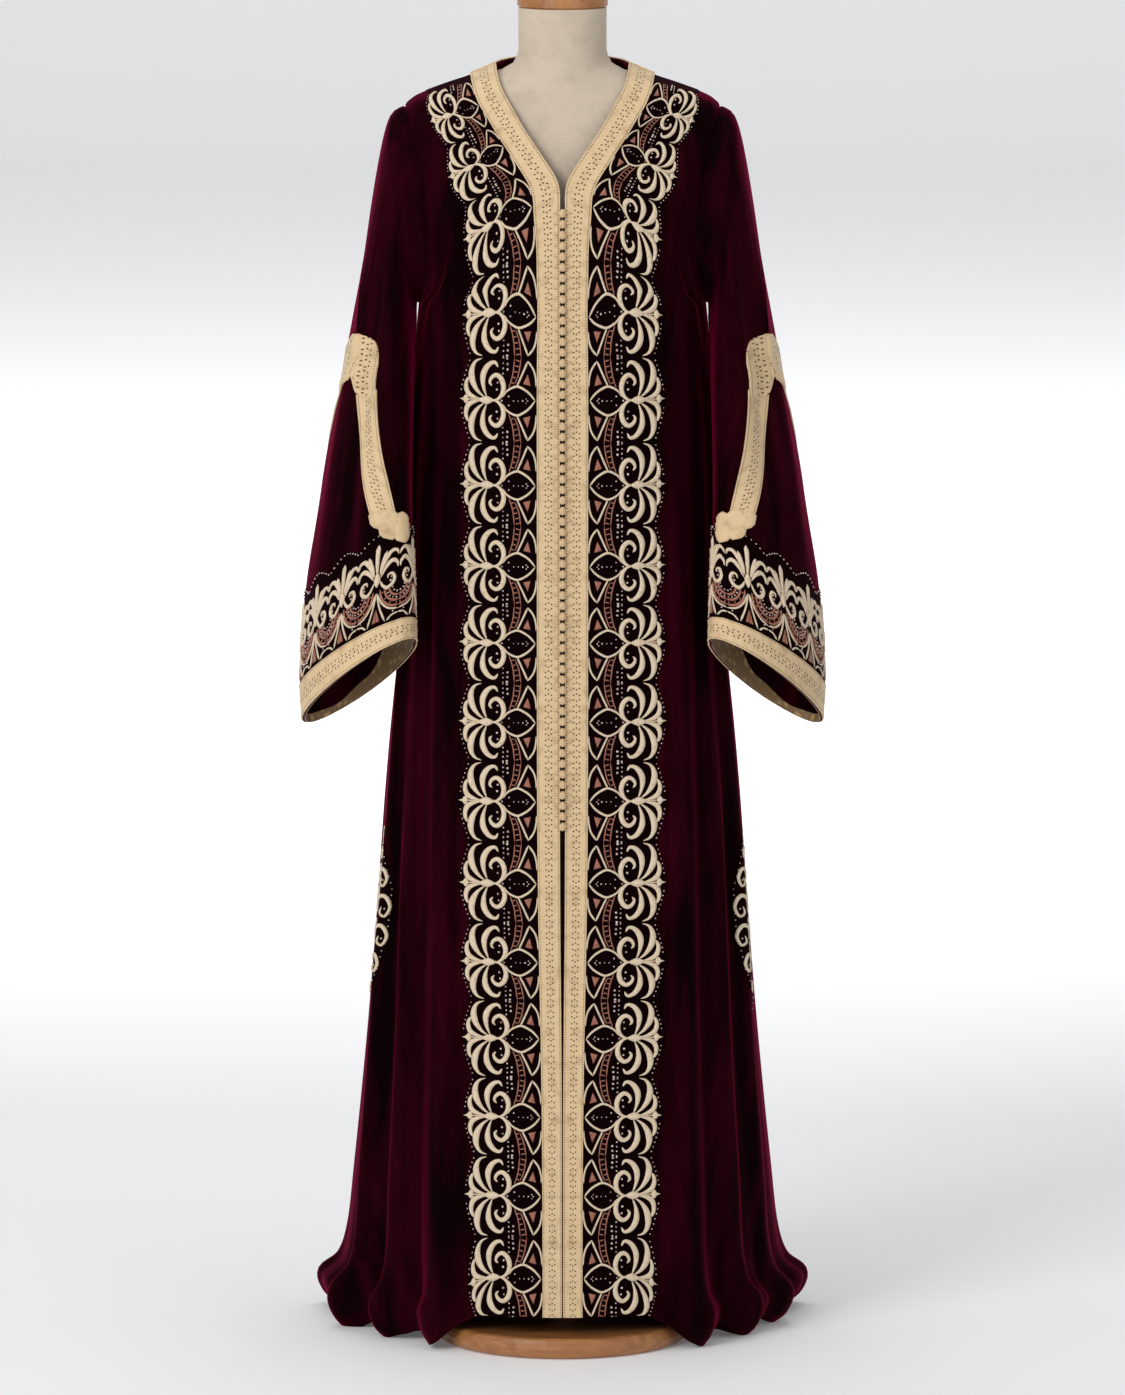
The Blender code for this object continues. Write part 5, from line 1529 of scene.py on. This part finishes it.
def rosette_part(shape):
    """Folded lobes of braid at the end of the front leg."""
    low, high = (column * SLEEVE_COLUMN_STEPS[0] for column in LEG_COLUMNS["front"])
    chart = level_chart(shape, ROSETTE_TOP, ROSETTE_FOOT, (low, high), 0.060)
    end_row = shape[LEG_END_ROW - LEG_SHORTER]
    leg_end = down_at(chart, (end_row[low, 2] + end_row[high, 2]) / 2)
    parts = []
    for lobe in LOBES:
        rings = []
        turns = np.arange(LOBE_SIDES) * 2 * math.pi / LOBE_SIDES
        for share, rise in LOBE_RINGS:
            edge = share * (1 + 0.06 * np.cos(5 * turns))
            across = (lobe.inwards + lobe.wide * edge * np.cos(turns)) * MILLIMETRE
            down = leg_end + (lobe.below + lobe.tall * edge * np.sin(turns)) * MILLIMETRE
            rings.append(on_cloth(chart, across, down, np.full(LOBE_SIDES, rise * MILLIMETRE)))
        points = np.concatenate(rings)
        faces = grid_faces(len(rings), LOBE_SIDES, ring=True).tolist()
        faces += [list(range(LOBE_SIDES))[::-1], list(range(len(points) - LOBE_SIDES, len(points)))]
        parts.append((points, faces))
    return joined(parts)


for side, mirror in (("right", False), ("left", True)):
    for leg, columns in LEG_COLUMNS.items():
        chart = leg_chart(sleeve_shape, columns)
        name = "sleeve_leg_%s_%s" % (leg, side)
        strip = braid_piece(name, chart, LEG_WIDTH, LIFT, columns=11, mirror=mirror)
        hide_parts("sleeve_braid_%s_%s" % (leg, side))
    apex_top, apex_under, apex_uv = leg_apex(sleeve_shape)
    if mirror:
        apex_top, apex_under = apex_top * MIRROR, apex_under * MIRROR
    apex_piece = cloth_shell("sleeve_apex_" + side, apex_top, apex_under, braid, apex_uv)
    lobe_points, lobe_faces = rosette_part(sleeve_shape)
    if mirror:
        lobe_points = lobe_points * MIRROR
    rosette = mesh_piece("leg_rosette_" + side, lobe_points, lobe_faces, braid)
    set_uv(rosette, lobe_points[:, [0, 2]])
    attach(rosette, "root")

# Cuff embroidery
# A deep embroidered band round each sleeve above its braid: tall palmettes over scalloped
# fans of rose chain stitch, each fan edged with a cream cord, with beads above the tips.
CUFF_PALMETTES = 9
CUFF_ROUND = 0.513
CUFF_TOP_ROW = SLEEVE_RING_ROWS[-5] - 2
CUFF_BRAID_ROW = SLEEVE_RING_ROWS[-2] + 1
CUFF_HALF = 28.5
FAN_CENTRE = 43.0
CUFF_TIP = 113.0
CUFF_DIP = 99.0
CUFF_PETALS = [
    Stroke([(3.2, 61), (6.5, 73), (12.0, 86)], 0.9, 2.0, 2.5, 1.9),
    Stroke([(4.0, 60), (9.5, 74), (17.5, 83.5), (25.0, 83), (27.8, 77)], 1.2, 3.0, 1.5, 2.1),
    Stroke([(4.5, 57), (11.5, 67.5), (19.5, 72.5), (25.8, 69), (27.2, 62.5)], 1.2, 2.9, 1.4, 2.0),
    Stroke([(4.0, 53.5), (7.4, 47), (12.6, 42.6), (19.0, 44.2), (22.6, 50.4), (20.0, 57.0), (14.8, 57.4),
            (13.4, 53.0)], 1.4, 2.5, 1.4, 2.0),
]
CUFF_OUTLINES = [
    Stroke([(0.4, 39.5), (4.8, 21), (12.2, 3.0)], 1.3, 1.2, 1.5, 1.3),
    Stroke([(0.6, 40.0), (7.0, 26.5), (16.5, 17.2), (CUFF_HALF, 13.6)], 1.2, 1.2, 1.2, 1.3),
    Stroke([(14.5, 3.0), (20.5, 7.8), (CUFF_HALF, 9.2)], 1.4, 1.1, 1.1, 1.2),
]
FAN_RADII = (24.0, 18.2, 12.4)
FAN_DEEPER = 1.06


def fan_point(radius, turn):
    """Place in a fan, from its centre between two palmettes."""
    return CUFF_HALF - radius * math.cos(turn), FAN_CENTRE - FAN_DEEPER * radius * math.sin(turn)


def fan_arc(radius):
    """Quarter of a fan's arc, from its side down to its lowest point."""
    return [fan_point(radius, turn) for turn in np.radians([0, 22.5, 45, 67.5, 90])]


def round_ways(parts):
    """Shapes and their copies on the other side of the chart's middle line."""
    return both_ways(parts, (-1, 1))


cuff_halves = [padded_stroke(stroke) for stroke in CUFF_PETALS + CUFF_OUTLINES]
cuff_cream = gathered(round_ways(cuff_halves) + [
    padded_stroke(Stroke([(0, 60), (0, 79), (0, 97)], 1.4, 2.8, 3.4, 2.4)),
    padded_stroke(Stroke([(0, 47), (0, 56), (0, 64)], 2.0, 4.6, 2.2, 2.7)),
])
fan_parts = [padded_stroke(Stroke(fan_arc(radius), 1.4, 1.5, 1.5, 1.1)) for radius in FAN_RADII]
for ray in range(4):
    turn = math.radians(12 + 24 * ray)
    inner, outer = FAN_RADII[1] + 1.8, FAN_RADII[0] - 1.8
    ends = [fan_point(reach, turn) for reach in (inner, (inner + outer) / 2, outer)]
    fan_parts.append(padded_stroke(Stroke(ends, 0.9, 0.9, 0.9, 0.9)))
fan_parts.append(padded_patch([(0.2, 21.5), (5.2, 5.5), (0.2, 5.5)], 1.1))
cuff_rose = gathered(round_ways(fan_parts))
cuff_bead_parts = [bead(17.6, 49.6, 1.6), bead(18.4, 53.8, 1.2), bead(6.4, 33.5, 1.1), bead(22.0, 12.2, 1.1)]
for step in range(5):
    turn = math.radians(9 + 18 * step)
    cuff_bead_parts.append(bead(CUFF_HALF - 15.3 * math.cos(turn), FAN_CENTRE - 16.2 * math.sin(turn), 1.15))
    share = (step + 0.5) / 5
    cuff_bead_parts.append(bead(CUFF_HALF * share, CUFF_TIP - 3.2 - 13.5 * share**1.4, 1.1, 5))
for step in range(3):
    turn = math.radians(15 + 30 * step)
    cuff_bead_parts.append(bead(CUFF_HALF - 8.2 * math.cos(turn), FAN_CENTRE - 8.7 * math.sin(turn), 1.2))
cuff_beads = gathered(round_ways(cuff_bead_parts))


def ring_chart(shape, first_row, last_row, step=0.002):
    """Chart round the sleeve: across is round it from its outer edge, down is up from the braid."""
    closed = np.concatenate([shape, shape[:, :1]], axis=1)[first_row:last_row + 1][::-1]
    half = closed.shape[1] // 2
    starts = np.array([travelled(row)[half] for row in closed])
    lengths = np.array([travelled(row)[-1] for row in closed])
    return cloth_chart(closed, starts, lengths / CUFF_ROUND, -CUFF_ROUND / 2, CUFF_ROUND / 2, step)


def evened(chart, length):
    """The same chart with the way down measured along each of its own columns."""
    down = np.arange(0, length, chart.step)
    lines = [along(chart.points[:, column], down) for column in range(chart.points.shape[1])]
    points = np.stack(lines, axis=1)
    return Chart(points, cloth_normals(points), chart.across_start, chart.step)


cuff_chart = evened(ring_chart(sleeve_shape, CUFF_TOP_ROW, CUFF_BRAID_ROW), (CUFF_TIP + 8) * MILLIMETRE)
cuff_step = CUFF_ROUND / CUFF_PALMETTES
cuff_spots = []
for number in range(CUFF_PALMETTES):
    middle = (number - CUFF_PALMETTES // 2) * cuff_step
    cuff_spots.append(Spot(middle, 0.0, cuff_step / (2 * CUFF_HALF * MILLIMETRE), 1.0, 1.0))
cuff_round = np.linspace(-CUFF_ROUND / 2, CUFF_ROUND / 2, 181)
cuff_phase = np.cos(math.pi * cuff_round / cuff_step) ** 2
cuff_reach = (CUFF_DIP + (CUFF_TIP - CUFF_DIP) * cuff_phase) * MILLIMETRE
cuff_share = np.linspace(0, 1, 18)
cuff_down = cuff_share[:, None] * cuff_reach[None, :]
cuff_across = np.ones(len(cuff_share))[:, None] * cuff_round[None, :]
for side, mirror in (("right", False), ("left", True)):
    cuff_ground = ground_patch(
        "cuff_ground_" + side, cuff_chart, cuff_across, cuff_down, EMBROIDERY_LIFT, GROUND_LOW, mirror)
    threads = repeated(
        "cuff_palmettes_" + side, cuff_chart, cuff_cream, cuff_spots, EMBROIDERY_LIFT, cream_thread, mirror)
    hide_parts("cuff_embroidery_" + side)
    fans = repeated(
        "cuff_fans_" + side, cuff_chart, cuff_rose, cuff_spots, EMBROIDERY_LIFT, rose_thread, mirror)
    pearls = repeated(
        "cuff_beads_" + side, cuff_chart, cuff_beads, cuff_spots, EMBROIDERY_LIFT, bead_glass, mirror)

# Cuff braid
# The braid again, wider, sewn round the slanted edge of each sleeve.
CUFF_BRAID_STEPS = 260
CUFF_BRAID_COLUMNS = 17
cuff_edge_chart = ring_chart(sleeve_shape, CUFF_BRAID_ROW, SLEEVE_RING_ROWS[-1])
edge_length = chart_length(cuff_edge_chart)
edge_round = np.linspace(-CUFF_ROUND / 2, CUFF_ROUND / 2, CUFF_BRAID_STEPS)
edge_share, edge_way = np.meshgrid(np.linspace(0, 1, CUFF_BRAID_COLUMNS), edge_round, indexing="ij")
edge_relief = braid_relief(edge_share, edge_way)
edge_uv = np.stack([edge_share * BRAID_AT_FRONT, edge_way], axis=-1)
edge_down = edge_share * edge_length
edge_high = LIFT + BRAID_THICKNESS + edge_relief
for side, mirror in (("right", False), ("left", True)):
    top, under = laid_layers(cuff_edge_chart, edge_way, edge_down, edge_high, LIFT, mirror)
    cuff_strip = cloth_shell("cuff_braid_strip_" + side, top, under, braid, edge_uv)
    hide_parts("cuff_braid_" + side)

# Cuff facing
# A brown and gold figured facing turned inside the sleeve's edge, deeper on the side that
# shows, with a waved upper edge.
FACING_COLOUR = (0.20, 0.115, 0.040, 1)
FACING_FIGURE = (0.42, 0.27, 0.11, 1)
FACING_THICKNESS = 0.0010
FACING_LOW = 0.010
FACING_HIGH = 0.105
FACING_WAVE = 0.006
FACING_WAVE_PITCH = 0.062
facing_finish, facing_tree, facing_shader = finish("figured_facing")
facing_shader.inputs["Roughness"].default_value = 0.55
facing_shader.inputs["Sheen Weight"].default_value = 0.2
facing_place = facing_tree.nodes.new("ShaderNodeTexCoord")
facing_figure = node(facing_tree, "ShaderNodeTexVoronoi", feature="F1", Scale=95.0, Randomness=0.9)
facing_tree.links.new(facing_place.outputs["UV"], facing_figure.inputs["Vector"])
facing_colour = ramp(facing_tree, facing_figure.outputs["Distance"], FACING_FIGURE, FACING_COLOUR, 0.22, 0.42)
facing_tree.links.new(facing_colour, facing_shader.inputs["Base Color"])
emboss(facing_tree, facing_shader, facing_figure.outputs["Distance"], 0.4, 0.0008)
facing_chart = ring_chart(sleeve_shape, CUFF_TOP_ROW, SLEEVE_RING_ROWS[-1])
facing_round = np.linspace(-CUFF_ROUND / 2, CUFF_ROUND / 2, 161)
inner_side = 0.5 - 0.5 * np.cos(2 * math.pi * facing_round / CUFF_ROUND)
facing_reach = FACING_LOW + (FACING_HIGH - FACING_LOW) * inner_side**3
facing_wave = np.sin(2 * math.pi * facing_round / FACING_WAVE_PITCH)
facing_reach = facing_reach + FACING_WAVE * inner_side * facing_wave
facing_share, facing_across = np.meshgrid(np.linspace(0, 1, 14), facing_round, indexing="ij")
facing_down = facing_share * facing_reach[None, :]
facing_uv = np.stack([facing_across, facing_down], axis=-1)
facing_out = -VELVET - LIFT
facing_in = facing_out - FACING_THICKNESS
for side, mirror in (("right", False), ("left", True)):
    outer, inner = laid_layers(facing_chart, facing_across, facing_down, facing_out, facing_in, mirror)
    facing_piece = cloth_shell("cuff_facing_cloth_" + side, outer, inner, facing_finish, facing_uv)
    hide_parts("cuff_facing_" + side)

# Side embroidery
# A pointed panel of the same work beside each side seam at hip height: pairs of scrolls
# up a stem on a dark ground, edged with beads.
SIDE_LIFT = 0.0012
SIDE_TOP = 0.628
SIDE_LENGTH = 0.243
SIDE_FORWARD = 0.044
SIDE_EDGE = [(0, 2.5), (28, 16), (78, 35), (128, 36), (178, 29), (222, 10), (243, 2.5)]
SIDE_SCROLLS = [
    Stroke([(0.6, 46), (6.5, 33), (12.0, 34), (12.6, 42), (8.4, 46)], 0.9, 1.7, 1.2, 1.8),
    Stroke([(0.8, 82), (9.0, 61), (19.5, 57), (25.5, 67), (21.5, 77), (15.0, 74), (17.0, 67.5)],
           1.0, 2.3, 1.2, 2.0),
    Stroke([(0.8, 116), (12.0, 94), (25.0, 89), (33.0, 101), (28.0, 113), (20.5, 110), (22.0, 102)],
           1.1, 2.6, 1.3, 2.0),
    Stroke([(0.8, 150), (12.0, 130), (25.0, 125), (33.5, 136), (29.0, 148), (21.0, 145), (22.5, 137.5)],
           1.1, 2.6, 1.3, 2.0),
    Stroke([(0.8, 184), (9.5, 166), (19.5, 161), (26.0, 171), (21.5, 181), (15.5, 178), (17.0, 171.5)],
           1.0, 2.3, 1.2, 2.0),
    Stroke([(0.6, 212), (6.5, 198), (13.0, 196), (14.8, 204), (10.6, 208)], 0.9, 1.7, 1.2, 1.8),
    Stroke([(1.2, 100), (6.0, 91), (6.5, 79), (2.6, 88)], 0.8, 1.5, 0.8, 1.5),
    Stroke([(1.2, 167), (6.0, 158), (6.5, 147), (2.6, 155)], 0.8, 1.5, 0.8, 1.5),
]
side_stem = Stroke([(0, 30), (0, 70), (0, 122), (0, 176), (0, 214)], 0.7, 1.1, 0.8, 1.5)
side_bud = Stroke([(0, 30), (0, 18), (0, 6)], 1.0, 2.6, 0.8, 2.0)
side_leaf = Stroke([(0, 212), (0, 225), (0, 238)], 1.0, 2.6, 0.8, 2.0)
side_cream = gathered(round_ways([padded_stroke(stroke) for stroke in SIDE_SCROLLS]) + [
    padded_stroke(side_stem),
    padded_stroke(side_bud),
    padded_stroke(side_leaf),
])
SIDE_BEADS = [(20.5, 70), (27, 104), (27.5, 140), (20, 174), (9, 40), (9.5, 203), (6, 60), (6, 126), (6, 192)]
side_edge_down = [edge[0] for edge in SIDE_EDGE]
side_edge_reach = [edge[1] for edge in SIDE_EDGE]
side_bead_parts = []
for step in range(30):
    down = 8 + 226 * (step + 0.5) / 30
    reach = float(np.interp(down, side_edge_down, side_edge_reach))
    side_bead_parts.append(bead(max(reach - 2.2, 0.8), down, 0.95, 5))
for across, down in SIDE_BEADS:
    side_bead_parts.append(bead(across, down, 1.3))
side_beads = gathered(round_ways(side_bead_parts))


def seam_chart(front_shape, back_half):
    """Chart across the side seam, front cloth on one side of it and back cloth on the other."""
    rows, origins = [], []
    for front_row, back_row in zip(front_shape, back_half):
        if not SIDE_TOP - SIDE_LENGTH - 0.02 < front_row[-1][2] < SIDE_TOP + 0.02:
            continue
        rows.append(np.concatenate([front_row, back_row[::-1]]))
        origins.append(travelled(front_row)[-1])
    return cloth_chart(np.array(rows), origins, np.ones(len(rows)), -0.090, 0.021, 0.003)


back_middle = whole_back.shape[1] // 2
side_backs = {"right": back_shape[:, back_middle:], "left": (back_shape * MIRROR)[:, back_middle::-1]}
side_creases = {"right": FRONT_RIGHT_CREASES, "left": FRONT_LEFT_CREASES}
side_down = np.linspace(0, SIDE_LENGTH, 60)
side_reach = np.interp(side_down / MILLIMETRE, side_edge_down, side_edge_reach) * MILLIMETRE
side_share = np.linspace(-1, 1, 17)
for side, mirror in (("right", False), ("left", True)):
    side_front = creased(right_front, right_front_normals, front_share[None, :], side_creases[side])
    chart = seam_chart(side_front, side_backs[side])
    start = chart.points[0, int(round(-chart.across_start / chart.step)), 2] - SIDE_TOP
    across = side_share[None, :] * side_reach[:, None] - SIDE_FORWARD
    down = start + side_down[:, None] * np.ones(len(side_share))
    side_ground = ground_patch("side_ground_" + side, chart, across, down, SIDE_LIFT, LIFT, mirror)
    spot = [Spot(-SIDE_FORWARD, start, 1.0, 1.0, 1.0)]
    scrolls = repeated("side_scrolls_" + side, chart, side_cream, spot, SIDE_LIFT, cream_thread, mirror)
    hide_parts("side_embroidery_" + side)
    pearls = repeated("side_beads_" + side, chart, side_beads, spot, SIDE_LIFT, bead_glass, mirror)
